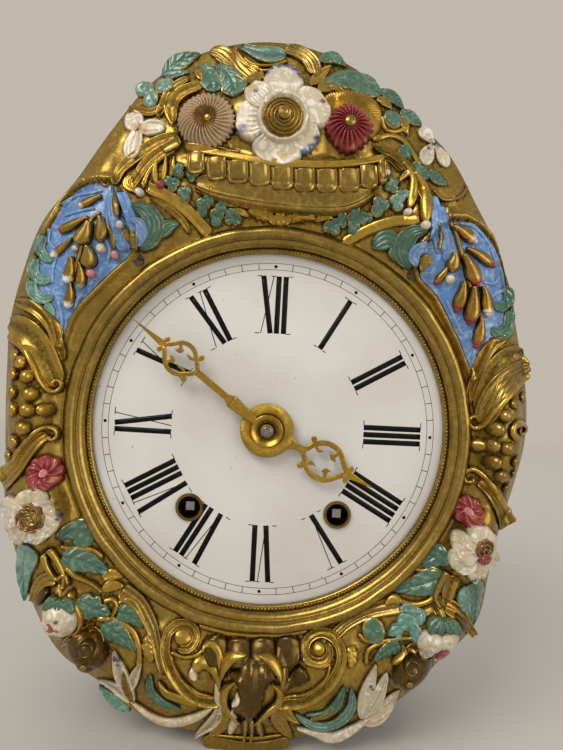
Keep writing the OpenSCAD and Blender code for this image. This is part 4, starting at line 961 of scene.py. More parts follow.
# %% Crest leaves and plumes
CREST_ROWS = """
fluted antique 5.4 284,49 300,53 311,62 316,76 n=5 height=2.6 width=tongue
plume antique 6.4 232,49 238,65 252,78 264,90 n=4
plume antique 6.4 209,52 222,54 236,69 n=4
plume gilt 4 310,86 322,74 332,66 n=3
plume gilt 4.5 318,92 330,86 344,92 n=3
plume gilt 4 376,100 384,102 392,110 n=4
broad teal_light 6.2 242,47 262,54 287,56 section=hollow height=2.2
leaf teal 6.2 162,77 180,63 201,54
leaf teal 3.6 164,78 176,74 190,73
broad teal 6.6 203,64 210,76 214,92 lobes=2 lobe=0.1
broad teal 8 218,64 230,76 238,96 lobes=2 lobe=0.1
leaf gilt 3.2 199,68 200,75 202,82
channel gilt 3.6 174,124 173,106 184,92 203,86
channel gilt 3 158,118 164,104 174,88 190,78
channel gilt 2.4 128,108 140,111 152,113 164,106
bar gilt 1.2 164,104 167,116 173,126
bar gilt 1.3 236,47 237,57 246,66 262,71 272,70 height=2.2
bar gilt 1 243,58 254,65 272,66 288,61 height=1.8
plume gilt 4 244,66 256,72 264,80 n=3
leaf teal 4.4 319,62 332,58 347,67
broad teal 8.6 322,84 350,80 381,96 lobes=2 lobe=0.08
leaf teal 4.2 378,90 392,98 404,110
leaf teal 5 400,110 410,118 422,126
bar gilt 1.4 382,116 384,128 395,132 408,128
leaf gilt 3 404,118 405,128 408,136
bar gilt 1.8 372,140 388,136 402,140 412,152 420,166
leaf green_dark 5 400,146 405,152 409,160
broad teal 3.6 412,162 420,170 428,180
leaf green_dark 4 428,170 438,180 448,186
"""
PANSY_DABS = """
orange 3 138,128; orange 2.6 146,131; yellow 1.8 136,137; navy 2.4 433,144; navy 1.3 428,149
sky 1.6 437,147; navy 1.2 430,141
"""
PANSIES = """
petal white 6.2 139,130 134,121 131,112 width=round
petal cream 5.4 138,129 152,128 166,128 lift=1.1 width=round
petal white 6 138,130 133,146 131,160 lift=1 width=round
petal white 4.8 434,145 427,136 419,128 lift=0.9
petal white 4.8 433,144 427,155 425,166 lift=1.1
petal white 4.6 434,145 442,156 446,168 lift=1
"""
# Small round leaves: pixel, radius and height in mm, width for its length, finish
ROUND_LEAVES = [((164.5, 86), 6.2, 2.2, 1.0, "teal_light"), ((151, 99.5), 6.2, 2.2, 0.85, "teal_light"),
                ((145.5, 90), 5.2, 2.2, 1.2, "teal_light"), ((393, 119.5), 6.0, 2.0, 1.0, "teal")]

crest = Relief("crest_leaves")
stamp(crest, CREST_ROWS)
for centre, radius, height, squash, name in ROUND_LEAVES:
    bloom(crest, name, centre, radius, height, form=ivy_veins, squash=squash, lift=0.6, rings=8, steps=32)
stamp(crest, PANSIES, PANSY_DABS)
crest.done()

# %% [markdown]
# Two horns of plenty hang from the basket on either side. Each is a bundle of parallel flutes that narrows
# downwards, with a few fingers of fruit at its mouth, and ivy is laid over the place where it meets the
# basket.

# %% Horns and ivy
HORN_ROWS = """
strap gilt 3.7 147,188 168,197 186,210 200,224 210,236 height=1.4 lift=1
channel gilt 3.8 179,134 158,143 138,156 122,170 114,186 height=3
channel gilt 3.2 181,142 165,150 149,162 138,176 132,190 height=3
bar gilt 1.6 176,150 160,160 148,174 143,188 height=2
tongue antique 3.2 163,153 173,147 182,141 height=1.8 section=strap lift=2.6
pod gilt 2.3 158,158 155,172 157,186
pod gilt 2 167,156 165,170 163,183
pod gilt 2 175,156 173,168 171,178
plume gilt 3.6 134,176 128,184 140,194 n=3
channel antique 2.8 374,147 392,155 406,167 418,184 426,206 height=2.8 lift=0.8
channel gilt 2.2 380,156 392,161 402,172
bar gilt_ground 1 433,190 444,200 460,197 468,186 height=1.4
bar gilt_ground 1 98,178 106,186 114,176 117,168 height=1.4
pod gilt 3.2 402,162 412,176 413,192 408,210 height=3
pod gilt 4.2 414,172 424,188 426,206 425,224 height=3.4
pod pod_white 2.2 380,158 386,166 388,176
pod pod_white 2.4 398,184 404,176 410,172
bar gilt 3.4 342,244 370,229 396,221 420,220
plume gilt 2.6 196,190 205,192 212,200 n=3
leaf gilt 2.2 206,186 214,190 222,200
"""
# Ivy leaves: finish, radius in mm, turn of the tip clockwise from the top, pixel
IVY = """
teal 5.2 -60 172,184; teal 4.6 20 179,171; teal 5.2 170 185,195; teal 4 60 193,176; teal 5.2 190 203,208
teal 4.2 30 210,199; teal 5.2 185 217,219; teal 4.4 20 222,207; teal 5.4 110 233,219; teal 5 20 392,186
teal 6.4 205 379,207; teal_light 5.4 170 397,203; teal 5.6 270 332,228; teal 4.6 10 341,221
teal 5 10 354,216; teal 4.4 80 365,219; teal 4.6 190 353,228; teal_light 4.6 60 402,196
"""
# Beads: finish, radius in mm, pixel
HORN_BEADS = """
crimson 2.6 161,186; white 2.4 140,193; white 2.3 407,213; white 2.8 425,226
"""

horns = Relief("horns_and_ivy")
stamp(horns, HORN_ROWS)
for (name,), (radius, turn), (centre,), _ in read(IVY):
    bloom(horns, name, centre, radius, 1.9, form=ivy_veins, edge=ivy, turn=turn, lift=0.9, rings=8, steps=40)
for (name,), (radius,), (centre,), _ in read(HORN_BEADS):
    bloom(horns, name, centre, radius, radius, lift=2.0)
horns.done()

# %% [markdown]
# Each shoulder has a sunk panel painted blue. The blue ground is a patch laid in the panel with the panel's
# own edge: a disc whose rim is drawn out to the edge at every angle.

# %% Blue panels
PANEL_HUBS_PX, PANEL_INSET, LEAST_REACH = [(78, 262), (470, 290)], 0.8, 0.5


def to_edge(edge, hub, inset):
    """Distance from a hub to a closed edge, as a function of the angle clockwise from the top."""
    def reach(theta):
        far = np.zeros_like(theta)
        s, c = np.sin(theta), np.cos(theta)
        for (ax, az), (bx, bz) in zip(edge - hub, np.roll(edge, -1, 0) - hub):
            cross = s * (bz - az) - c * (bx - ax)
            cross = np.where(np.abs(cross) < 1e-9, 1e-9, cross)
            t, w = (ax * (bz - az) - az * (bx - ax)) / cross, (ax * c - az * s) / cross
            far = np.where((w >= 0) & (w <= 1) & (t > 0), np.maximum(far, t), far)
        return np.maximum(far - inset, LEAST_REACH)
    return reach


panels = Relief("blue_panels")
for edge, hub_px in zip(PANELS, PANEL_HUBS_PX):
    bloom(panels, "blue", hub_px, 1.0, 0.25, form=flat,
          edge=to_edge(edge, np.array(spot(*hub_px)), PANEL_INSET), lift=0.05, rings=26, steps=140,
          rim=0.985)
panels.done()

# %% [markdown]
# On the blue grow clusters of fruit: gilt pods with a painted tip, each one punch from stem to tip. Waves
# of green leaf roll along the outer edge, and blue drapery falls between the two halves.

# %% Fruit on the panels
FRUIT_ROWS = """
fluted blue 3.6 114,186 112,206 116,226 128,252 height=2
fluted blue 3.4 121,192 127,208 131,224 134,244 height=2
crescent teal 6.6 131,206 146,211 154,223 152,238 141,252 section=flute n=5 height=2.8
crescent blue_light 3.6 129,221 139,223 143,233 139,248 section=flute n=3 height=2.6 lift=1
plume teal 4.4 158,238 168,227 180,224 n=4
channel gilt 2 150,196 166,206 182,220 190,234 height=1.6
fluted teal_light 3.4 46,236 41,248 47,258 57,257 n=3 width=tongue height=2.4
fluted teal_light 3.6 37,258 34,270 41,280 53,279 n=3 width=tongue height=2.4
fluted teal_light 3.4 33,280 35,292 44,299 55,296 n=3 width=tongue height=2.4
plume teal_light 2.4 46,302 52,310 55,318 n=2
pod antique 2.5 114,187 116,202 119,219 lift=1.6
plume antique 3.6 122,232 132,238 137,253 n=4 lift=1.6
fluted blue 3.8 432,196 436,212 437,232 442,254 height=2
fluted blue 3.2 441,206 446,222 447,240 446,262 height=1.8
crescent teal 6.2 410,270 402,256 405,242 414,233 428,231 section=flute n=5 height=2.8
crescent blue_light 3.8 416,268 413,257 420,249 433,248 section=flute n=3 height=2.6 lift=1
plume teal 6 372,248 388,240 402,250 n=4
leaf teal 3.4 388,250 396,256 404,264
plume antique 3.6 432,262 424,262 420,274 n=4 lift=1.6
bar antique 1.4 437,224 440,236 438,252 lift=1.8
bar antique 1.6 446,206 450,218 454,230 460,250 466,270 470,290 lift=1
fluted teal 3.6 503,286 509,298 502,307 492,305 n=3 width=tongue height=2.2
fluted teal 4.2 508,310 510,324 502,333 490,330 n=3 width=tongue height=2.2
bar antique 1.4 102,212 92,220 86,236 80,256 72,284 lift=0.6
"""
# Ridges of lighter blue along the folds of the ground: painted highlights where the folds catch the light
RIDGES = """
62,206 76,196 92,193 104,190; 64,216 80,211 96,208; 110,184 109,204 107,220 114,240 122,252
124,196 130,212 131,228; 50,228 49,242 56,250; 60,246 54,266 52,284; 58,300 62,316 62,332
84,294 78,300 74,310; 104,236 110,250 108,262; 432,204 434,222 430,240; 444,208 443,226 441,246
458,223 474,227 488,242 496,262; 482,282 494,284 500,276; 488,300 496,294 504,290; 470,330 474,350 472,366
446,300 454,318 462,336
"""
# Pods: finish, half width in mm, lift, root pixel, tip pixel
PODS = """
pod_cream 3.1 0.6 103,196 79,207; pod_red 3.5 0.8 90,218 59,232; pod_white 2.8 0.6 74,238 51,258
antique 5.4 1.8 92,222 79,246; antique 4.2 1.2 101,216 101,243; antique 4.8 2 89,246 89,269
pod_white 3.7 1 73,256 67,284; pod_teal 3.1 1.6 81,262 81,290; pod_white 3.1 1 72,282 68,309
antique 2 0.6 107,224 115,251; pod_cream 4.4 1 451,227 474,242; pod_red 3.8 1.2 465,249 493,266
pod_red 5.2 1.6 461,255 476,286; antique 4.4 1.4 453,252 450,273; pod_red 2.5 0.8 448,266 435,284
pod_red 3.9 1 463,281 456,311; pod_red 4.6 1.6 472,286 469,324; pod_cream 4.3 1.2 481,286 487,315
pod_red 3.7 1 480,316 475,347
"""
# Pixels by which a pod bows out to the right and up
BOW_X_PX, BOW_Y_PX = 1.5, 1
# Pearls: finish, radius in mm, pixel
PEARLS = """
white 2.6 101.8,249; pink 2.4 116,256; white 2.4 121,226; pink 2.6 92,274; cream 1.9 76,249
white 2.7 449,280; crimson 1.9 476,285; crimson 1.9 493,265.5; crimson 1.6 435.5,283; crimson 1.8 456,310
crimson 1.8 475,346; crimson 1.6 469,323; white 2 487,314; cream 1.8 474,242
"""

fruit = Relief("panel_fruit")
stamp(fruit, FRUIT_ROWS)
for _, _, path, _ in read(RIDGES):
    punch(fruit, "bar", "blue_light", 1.1, path, height=1.2, lift=0.3)
for (name,), (half, lift), (root, tip), _ in read(PODS):
    bow = ((root[0] + tip[0]) / 2 + BOW_X_PX, (root[1] + tip[1]) / 2 - BOW_Y_PX)
    strip(fruit, name, half, [root, bow, tip], width="drop", section="dome", lift=lift, height=half * 0.95)
for (name,), (radius,), (centre,), _ in read(PEARLS):
    bloom(fruit, name, centre, radius, radius * 0.9, lift=2.4, rings=7, steps=20)
fruit.done()

# %% [markdown]
# At the widest part, bunches of grapes lie between pairs of scrolls. A scroll is a strap with flutes along
# it that ends in a small coil. The coil's line is a spiral worked out from its centre, its two radii and
# its turns.

# %% Side scrolls and grapes
SIDE_ROWS = """
channel gilt 7.8 9,322 29,333 41.5,350 50,369 60,386 height=3.4
channel gilt 3.8 15,301 36,309 51,326 58,346 63,362 height=2.6
ribbon gilt 2.5 8,335 24,348 34,364 42,381 52,391 60,390 63,384 58,380 54,384 57,387
sweep gilt 5.4 2,484 16,470 30,450 42,438 50,434 height=2.8
ribbon gilt 2.6 0,472 14,460 28,441 40,430 50,427 58,431 57,438 51,439 50,434
sweep antique 6.4 530,366 512,374 499,387 490,403 480,424 height=3.4 n=5 width=tongue
channel gilt_ground 5.2 524,352 506,356 492,372 484,392 476,410 height=2.8
channel gilt 3.4 508,336 493,346 483,362 475,382 467,404 height=2.4
ribbon gilt 2.6 529,374 522.7,380 509,395 491.7,412.7 480,426 471,427 468,420 474,416 477,421
bar gilt 2 512,356 522,358 528,366 height=1.4
sweep gilt_ground 6.4 508,526 501,508 490,490 478,480 height=3
ribbon gilt 2.6 510,514 497,495 484,478 473,469 464,472 464,480 471,481 472,476
"""
COIL_HUB_PX = (521, 430)
COIL_PX = coil(COIL_HUB_PX, outer=9.5, inner=1.2, start=200, turns=1.4)
# Grapes: finish, radius in mm, pixel
GRAPES = """
gilt 4 14,355; gilt 4.2 20,362; gilt 4.2 26.5,376; gilt 3.8 12,374; gilt 4.1 11,392; gilt 4.3 30,394
gilt 4.1 11.5,409; gilt 4.3 26.5,410; gilt 4.2 45,410; gilt 4.2 22.5,428.5; gilt 4 12.5,442; gilt 3.6 7,456
antique 2.7 524,397; antique 2.9 515,404; antique 3.8 506,416; antique 4.5 497,429.5; antique 4.2 476.5,445
antique 4.2 492.5,446; antique 4 508,449; antique 4.4 494,463; antique 4 502,477; antique 3.1 507.5,489
antique 3.4 517,462; antique 2.4 515,474
"""

sides = Relief("side_scrolls")
stamp(sides, SIDE_ROWS)
punch(sides, "tail", "gilt", 2.8, COIL_PX, section="dome", height=2.4, lift=0.6)
for (name,), (radius,), (centre,), _ in read(GRAPES):
    bloom(sides, name, centre, radius, radius * 1.1, lift=0.6, rings=8, steps=26, up=2.0)
sides.done()

# %% [markdown]
# Below the scrolls sits a camellia on each side, in cream and white, with a brown heart and a smaller red
# flower above it. Their petals are drawn as spokes round the heart, and the paint dabs follow the edges of
# the petals.

# %% Camellias
LEFT_PX, LEFT_ROSE_PX, LEFT_HEART_PX = (31, 517), (31, 518), (35, 517)
RIGHT_PX, RIGHT_ROSE_PX, RIGHT_HEART_PX = (476, 550), (483, 547), (482, 556)
# Petals: angle clockwise from the top, pixels to the tip, half width in mm
LEFT_PETALS = [(356, 29, 9.6), (62, 27, 8.6), (122, 29, 9.4), (176, 26, 9.0), (232, 27, 9.4), (286, 29, 9.2)]
RIGHT_PETALS = [(68, 22, 6.6), (122, 25, 6.8), (176, 31, 7.0), (230, 30, 7.4), (288, 28, 7.8), (20, 26, 7.4)]
CAMELLIA_ROOT_PX, CAMELLIA_LIFT, CAMELLIA_STEP = 5, 0.8, 0.55
CAMELLIA_DABS = """
navy 2.2 63,512; navy 1.6 60,517; navy 2.2 36,546; navy 2.2 28,546; yellow 2.2 18,541; navy 2.6 479,579
navy 2 474,578; navy 1.6 470,579
"""
INNER_PETALS = """
petal white 3.8 476,548 466,540 456,536 lift=3.6 width=round
petal white 3.8 476,552 467,556 460,562 lift=3.8 width=round
petal white 3.4 480,540 484,532 488,526 lift=3.4 width=round
"""
HEART_DABS = "rose 2.6 20.5,523.5; red 1.6 22,519; sky 2.0 16,508"
# Red flowers: pixel, radius in mm, petals
RED_FLOWERS = [((46, 472), 10.2, 9), ((466.6, 510), 8.4, 8)]
RED_DABS = "orange 2.0 56,478; orange 2.0 470,514"


def pinwheel(arms):
    return lambda rho, theta: ((0.45 + 0.55 * np.abs(np.cos(arms * theta / 2 + 3 * rho)))
                               * (0.5 + 0.5 * np.sin(math.pi * rho)))


camellias = Relief("camellias")
for centre, rows in ((LEFT_PX, LEFT_PETALS), (RIGHT_PX, RIGHT_PETALS)):
    for k, (half, path) in enumerate(spokes(centre, rows, CAMELLIA_ROOT_PX)):
        strip(camellias, "white" if k % 2 else "cream", half, path, width="round", section="cup",
              lift=CAMELLIA_LIFT + CAMELLIA_STEP * k, height=2.8, n=4, dabs=CAMELLIA_DABS)
bloom(camellias, "patina", LEFT_ROSE_PX, 8.8, 4.6, form=swirl(2.4, 3, 0.6), lift=2.6, rings=22, steps=72,
      edge=scallop(9, 0.12), dabs=HEART_DABS)
bloom(camellias, "antique", LEFT_HEART_PX, 4.6, 2.4, form=swirl(2.0, 2, 0.6), lift=5.6, rings=12, steps=36)
stamp(camellias, INNER_PETALS)
bloom(camellias, "patina", RIGHT_ROSE_PX, 6.0, 4.6, form=swirl(2.4, 2, 0.55), lift=3.4, rings=20, steps=60,
      edge=scallop(7, 0.1))
bloom(camellias, "crimson", RIGHT_HEART_PX, 3.8, 3.0, form=swirl(1.6, 3, 0.4), lift=5.4, rings=10, steps=36,
      edge=scallop(5, 0.1))
for centre, radius, arms in RED_FLOWERS:
    bloom(camellias, "crimson", centre, radius, 3.6, form=pinwheel(arms), edge=scallop(arms, 0.1), lift=1.0,
          rings=16, steps=90, dabs=RED_DABS)
    bloom(camellias, "pink", centre, 2.4, 1.6, lift=3.4)
camellias.done()

# %% [markdown]
# The lower corners carry leaves, rosebuds and poppy heads. A rosebud is a plump ball with a small rose at
# its side and green sepals over it. A poppy head is a bronze knob with a ring on it and a smaller knob
# below.

# %% Lower corners
LEFT_CORNER = """
broad green_dark 8 60,540 76,530 96,540 lobes=3 lobe=0.08
bar gilt 1.4 60,546 76,549 93,549 104,557
heart teal 8.4 62,556 86,561 112,573
heart teal_light 9.6 28,545 24,570 25,601
ribbon gilt 2.6 48,549 58,560 65,575 62,590
ribbon gilt 2.4 44,553 48,566 57,578 66,574 70,584 lift=1
sweep gilt 4.6 56,577 44,580 36,590 32,603
pod bronze 2.8 36,604 43,594 50,588 lift=1.6
ribbon gilt 2 67,566 76,575 92,582 104,591
ribbon gilt 2 73,588 72,596 78,606 82,618 78,632 62,646
leaf gilt 3.6 102,579 112,574 124,576
plume gilt 3.4 102,590 112,585 125,585
frond green_dark 6.2 77,598 92,606 112,614 lobes=3
heart green_dark 6 117,611 130,614 144,627
bar gilt 1.3 112,618 120,602 134,600 146,622
heart green_dark 7.8 103,622 120,634 138,650
bar gilt 1.8 96,618 116,620 134,632 140,654 138,668
leaf gilt 5 64,648 82,634 95,621 section=hollow height=2.8
channel gilt 3 98,652 99,638 92,626
sweep antique 5 122,589 140,603 152,625 158,648 165,674 height=2.6
frond gilt 4 148,634 149,650 153,662 lobes=4
ribbon gilt 1.8 104,600 114,598 118,606 110,620
leaf white 5 134,702 124,680 114,649 section=hollow lift=1.4 height=2.4
leaf white 4.2 132,702 116,688 99,679 section=hollow lift=1 height=2.2
leaf cream 3 131,690 135,676 142,661 section=hollow lift=1.2
leaf antique 2.6 134,702 127,686 124,668 lift=2
leaf teal_light 3.8 131,711 115,700 99,685
bar gilt 1.6 122,700 140,712 160,722
crescent cream 3.8 130,698 150,715 170,722 194,717 214,705 height=2.8 lift=1
crescent teal 4 151,674 151,690 162,702 181,708 section=flute n=3
crescent gilt 3.4 159,680 166,692 180,698 202,705
"""
LEFT_DABS = "navy 3.2 117.5,658; navy 2.2 119,664"
# The light teal leaf at 465,585 lies over the left side of the large teal leaf at 474,582 as its painted
# highlight.
RIGHT_CORNER = """
heart teal 7.4 448,550 434,556 414,567
heart teal 9 445,575 420,584 391,590
ribbon antique 2.4 447,571 438,584 434,597 440,607 lift=1.4
bar gilt 1.7 395,598 412,604 428,601 437,592
bar gilt 1.4 412,568 424,570 438,570
channel gilt 3.8 456,576 449,586 446,600 height=2.8
heart teal 9 474,582 474,602 473,625
leaf teal_light 4.8 465,585 464,600 468,615 lift=1.2
sweep gilt 4.6 446,603 460,614 475,636
pod bronze 2.8 454,612 460,620 466,628 lift=1.8
channel gilt 2.8 434,604 440,614 440,626
frond teal_light 4.8 425,609 405,622 387,635 lobes=3 lobe=0.3
leaf teal_light 3.2 417,615 408,607 397,610 lift=1
leaf teal_light 3.6 408,620 415,630 412,642 lift=1
leaf teal_light 2.8 402,622 398,632 401,641
bar gilt 1.4 358,632 366,640 384,640 402,638 416,640
heart green_dark 5.2 400,643 388,648 372,660
crescent antique 3 402,643 404,655 390,662
bar gilt 1.4 366,664 368,650 384,640
channel gilt 3.2 404,662 410,649 424,644
sweep antique 5.2 400,603 370,610 350,620 333,635 height=2.6
pod gilt 3.2 383,603 392,597 401,600 lift=1.6
frond gilt 3.4 350,644 352,656 350,668 lobes=4
plume white 4.8 361,718 366,694 376,663 lift=1.4
plume white 5.2 362,718 376,698 387,671 lift=1.2
plume cream 6 362,720 382,708 400,690 lift=1 n=5
plume cream 4.6 360,722 376,718 394,705
crescent white 3.4 372,714 352,728 328,736 296,726 height=2.8 lift=1
crescent teal_light 4.6 351,687 351,706 338,722 318,726 295,713 height=2.6 section=flute n=3
crescent teal 3.6 344,685 338,702 326,713 305,714 height=2.4 section=flute n=2
crescent antique 2.4 334,706 324,715 308,718 height=2 lift=1.2
"""
RIGHT_DABS = "navy 1.3 370,684; navy 1.2 372,687; navy 1.2 384,670"
# Balls of the rosebuds: corner, finish, radius and height in mm, pixel
BUDS = """
left white 11.2 7 56.5,621.5; right white 7.8 6 432,645; right cream 7.4 5.4 449,643
"""
BUD_DABS = """
orange 1.8 45.5,613; brown 1.5 60.5,616.5; brown 1.6 61,626; yellow 1.8 68,630; brown 1.8 450,646
yellow 2 455,640; brown 1.4 443,648; navy 1.4 459,650
"""
# Roses on them: corner, finish, radius, height and lift in mm, pixel
ROSES = """
left white 5 1.8 5.2 47.5,629.5; left crimson 2.9 1.4 6.8 48.5,629.5; left cream 1.7 1 8 45.5,628.5
right white 3.8 2.2 2.4 428,655; right cream 5.6 2 3 444,657; right crimson 4.2 2 4.6 444,657
"""
# Sepals: corner, line
SEPALS = """
left 60,597 53,600 46,607; left 61,596 61,602 60,608; left 63,597 71,602 77,611
right 441,615 432,622 426,631; right 441,615 439,624 436,632; right 443,615 447,624 449,632
right 444,616 453,624 459,632
"""
ROUND_LEAF_PX = (373, 629)
# Poppies: corner, pixel of the body, of the ring on it and of the knob below it
POPPIES = "left 82,655 85,651 83,668; right 416,676 413,669 410,685"


def bud_form(rho, theta):
    return half_ball(rho, theta) * (0.94 + 0.06 * np.sin(2 * theta + 7 * rho))


corners = {"left": Relief("lower_left_corner"), "right": Relief("lower_right_corner")}
stamp(corners["left"], LEFT_CORNER, LEFT_DABS)
stamp(corners["right"], RIGHT_CORNER, RIGHT_DABS)
bloom(corners["right"], "green_dark", ROUND_LEAF_PX, 6.6, 2.2, form=ivy_veins, squash=1.15, turn=70,
      lift=0.8, rings=8, steps=32)
for (corner, name), (radius, height), (centre,), _ in read(BUDS):
    bloom(corners[corner], name, centre, radius, height, form=bud_form, lift=0.8, rings=18, steps=64,
          dabs=BUD_DABS, up=height / 2)
for (corner, name), (radius, height, lift), (centre,), _ in read(ROSES):
    bloom(corners[corner], name, centre, radius, height, form=swirl(1.2, 2, 0.35), lift=lift, rings=12,
          steps=44, edge=scallop(6, 0.08), squash=1.15, up=lift + height)
for (corner,), _, path, _ in read(SEPALS):
    punch(corners[corner], "leaf", "green_dark", 3.2, path, lift=4.2)
for (corner,), _, (body, ring, knob), _ in read(POPPIES):
    bloom(corners[corner], "bronze", body, 11.8, 7.0, squash=1.1, lift=0.4, rings=14, steps=48, up=3.5)
    bloom(corners[corner], "bronze", ring, 5.2, 1.5, form=ring_at(0.7, 0.18), lift=6.2, rings=14, steps=40,
          up=7.0)
    bloom(corners[corner], "bronze", knob, 5.2, 4.2, lift=3.4, rings=10, steps=36, up=5.0)
    bloom(corners[corner], "antique", knob, 2.0, 1.0, lift=7.4, rings=6, steps=20, up=7.4)
for relief in corners.values():
    relief.done()

# %% [markdown]
# The foot of the surround is a dark bronze lily between two C-scrolls, under a row of bronze lobes. The
# lily is one disc drawn out to its own outline and rounded like a cushion: its height grows with the
# distance from the edge. The petals that curl back beside it are crescents, and each C-scroll is one strap
# that narrows into its coil.

# %% Foot of the surround
LILY_PX = """
251,653 258.4,653.6 268.6,656 275.6,666 277,676 270,681 265.4,689 263,698 262.2,706 257,712 247.6,721
241.8,711 231,706 230.5,699.5 237,698 239.5,692 237.5,683 229.5,673 231,669 238.5,668 241.8,660 246.9,654.8
"""
LILY_HUB_PX, LILY_ROUND = (252, 684), 7.0
lily_edge = np.array([spot(*p) for p in pixels(LILY_PX)])
lily_hub = np.array(spot(*LILY_HUB_PX))
lily_reach = to_edge(lily_edge, lily_hub, 0.0)
# Middles of the lobes, and the pixels that they reach above and below
LOBES_PX, LOBE_UP_PX, LOBE_DOWN_PX = "216,645 238.5,646 263,646 288,645", 12, 20
# Eyes of the two C-scrolls
LEFT_EYE_PX, RIGHT_EYE_PX = (184, 634), (319, 648)
# In the rows below, the small cream crescent at 192,666 is a painted highlight on the curled tip of the horn
# beside it.
FOOT_ROWS = """
bar gilt 1.8 198,624 226,632 254,635 282,634 308,630 height=1.8
scroll gilt 4 221,702 203,700 188,692 175,676 167.5,660 165.5,645 169,631 179,622.5 190,623 196.5,632 \
    194.5,642 187,648 178,646
bar gilt 1 171,653 175.5,671 188,686 203.6,694 218,698
bar gilt 1.1 170.5,651 184,656 197,654 205,647
horn gilt 5 219,694 218,678 212,664 202,661 195,670 height=3.4
crescent cream 2.2 192,666 194,673 198,677 height=2.4 lift=2.4
crescent gilt 2.6 204,650 206,642 214,641 220,650 220,666 height=2.4 lift=3.6
crescent gilt 3.4 248,650 234,653 224,664 221,678 height=3 lift=2.6
crescent cream 2.2 216,680 218,690 219,700 226,708 height=2.4 lift=1.6
crescent gilt 3 236,678 226,688 224,702 232,714 242,722 height=2.8 lift=1.8
crescent cream 1.8 237,690 238,697 232,702 height=1.8 lift=4
crescent gilt 3.2 258,650 270,656 279,668 282,680 height=3 lift=2.6
crescent gilt 2.8 272,680 280,690 278,702 266,712 254,722 height=2.8 lift=1.8
crescent antique 2.6 294,651 286,662 284,680 280,694 height=2.4 lift=1
horn bronze 5.4 281,694 288,684 298,676 306,670 height=3.2
pod cream 2.6 231,708 235,718 230,732 lift=1
pod gilt 2 264,712 259,722 262,735 lift=1
ribbon gilt 1.8 246,718 245,732 243,744
ribbon gilt 1.8 252,718 252,732 250,742
leaf cream 3.6 220,703 214,720 194,738 lift=1 section=hollow
plume gilt 4.4 224,708 222,724 207,739 n=2
plume gilt 4.6 274,707 280,722 293,739 n=3
plume gilt 3.6 279,705 290,716 301,723 n=2
bar gilt_ground 4.2 202,740 226,744 246,747 268,746 290,740 height=1.4
bar gilt 1.1 208,734 230,736 258,737 282,734
scroll gilt 4 277,704 297,702 316,694 331,681 340,664 340.5,648 333,635 320,630.5 309,636 305,647 \
    310,657.5 320,660.5 328,655 329.5,647 324,641
bar gilt 1 330,664 326,678 314,689 298,695 282,698
bar gilt 1.1 302,656 308,663 322,666 331,662
"""


def cushion(rho, theta):
    """Height of the lily: a quarter circle up from its edge, with soft ribs down its middle."""
    reach = rho * lily_reach(theta)
    x, z = lily_hub[0] + reach * np.sin(theta), lily_hub[1] + reach * np.cos(theta)
    inner = np.clip(inside_by(lily_edge, x, z) / LILY_ROUND, 0, 1)
    return np.sqrt(1 - (1 - inner) ** 2) * (0.9 + 0.1 * np.cos(0.9 * (x - lily_hub[0])))


foot = Relief("foot_scrolls")
for px, py in pixels(LOBES_PX):
    punch(foot, "tongue", "bronze", 7.4, [(px, py - LOBE_UP_PX), (px, py + LOBE_DOWN_PX)], height=4.4,
          lift=0.4)
stamp(foot, FOOT_ROWS)
bloom(foot, "gilt", LEFT_EYE_PX, 5.4, 1.4, lift=0.2, rings=9, steps=36)
bloom(foot, "gilt", RIGHT_EYE_PX, 3.6, 1.6, lift=0.4)
bloom(foot, "bronze", LILY_HUB_PX, 1.0, 6.2, edge=lily_reach, lift=1.4, rings=26, steps=150, form=cushion,
      rim=0.95)
foot.done()

# %% [markdown]
# Now the sheet itself. A row of edges from the bezel to the rim is spun once round, and its outer end is
# drawn out to the outline. The sheet is darkened where ornament meets it, as dirt and as painted shade, so
# each vertex measures how far it is from the nearest edge of a stamped part and takes its darkening from
# that.

# %% Stamped sheet
SHEET_T, SHEET_IN = 1.2, BEZEL_R - 5.7
RINGS, STEPS = 64, 600
# Strength and reach in mm of that darkening near the edges of parts, dirt and painted shade, and its mark on
# the back
SHEET_DIRT_AND_SHADE, SHEET_DIRT_AND_SHADE_REACH, BACK_DIRT_AND_SHADE = 0.9, 2.0, 0.5
# The chasing keeps clear of the flange, the rim and the panels
FLANGE_GAP, CHASE_BLEND, CHASE_SLOPE, PANEL_GAP = 2, 6, 6, 3
# Waves of the chased ground: height, then length over two pi in mm, direction and phase of each
CHASE_H = 0.22
CHASING = [(2.3, 0.4, 0.0), (2.9, 1.7, 1.1), (1.9, 2.6, 2.3), (3.7, 0.9, 4.0)]

edges = np.vstack(EDGES)
near_edge = KDTree(len(edges))
for i, (ex, ez) in enumerate(edges):
    near_edge.insert((ex, ez, 0), i)
near_edge.balance()

sheet_bm = spun([(1 + k / RINGS, 0) for k in range(RINGS + 1)], STEPS)
face, rear = shell(sheet_bm)
for verts, is_front in ((face, True), (rear, False)):
    t, angle, _ = polar(verts)
    t = t - 1
    r = SHEET_IN + (outline(angle) - SHEET_IN) * t
    x, z = r * np.sin(angle), r * np.cos(angle)
    d = sheet_depth(x, z)
    if is_front:
        gap = np.array([near_edge.find((a, b, 0))[2] for a, b in zip(x, z)])
        mark = SHEET_DIRT_AND_SHADE * np.exp(-gap / SHEET_DIRT_AND_SHADE_REACH)
        clear = ease((r - FLANGE_R - FLANGE_GAP) / CHASE_BLEND) * ease((1 - t) * CHASE_SLOPE)
        for edge in PANELS:
            clear = clear * ease((-inside_by(edge, x, z) - PANEL_GAP) / PANEL_GAP)
        d = d + clear * sum(CHASE_H * np.sin((x * math.cos(a) + z * math.sin(a)) / w + q)
                            for w, a, q in CHASING)
    else:
        d, mark = d - SHEET_T, BACK_DIRT_AND_SHADE
    settle(sheet_bm, verts, x, z, d, mark)
sheet = Relief("stamped_sheet")
sheet.take(sheet_bm, "gilt_ground")
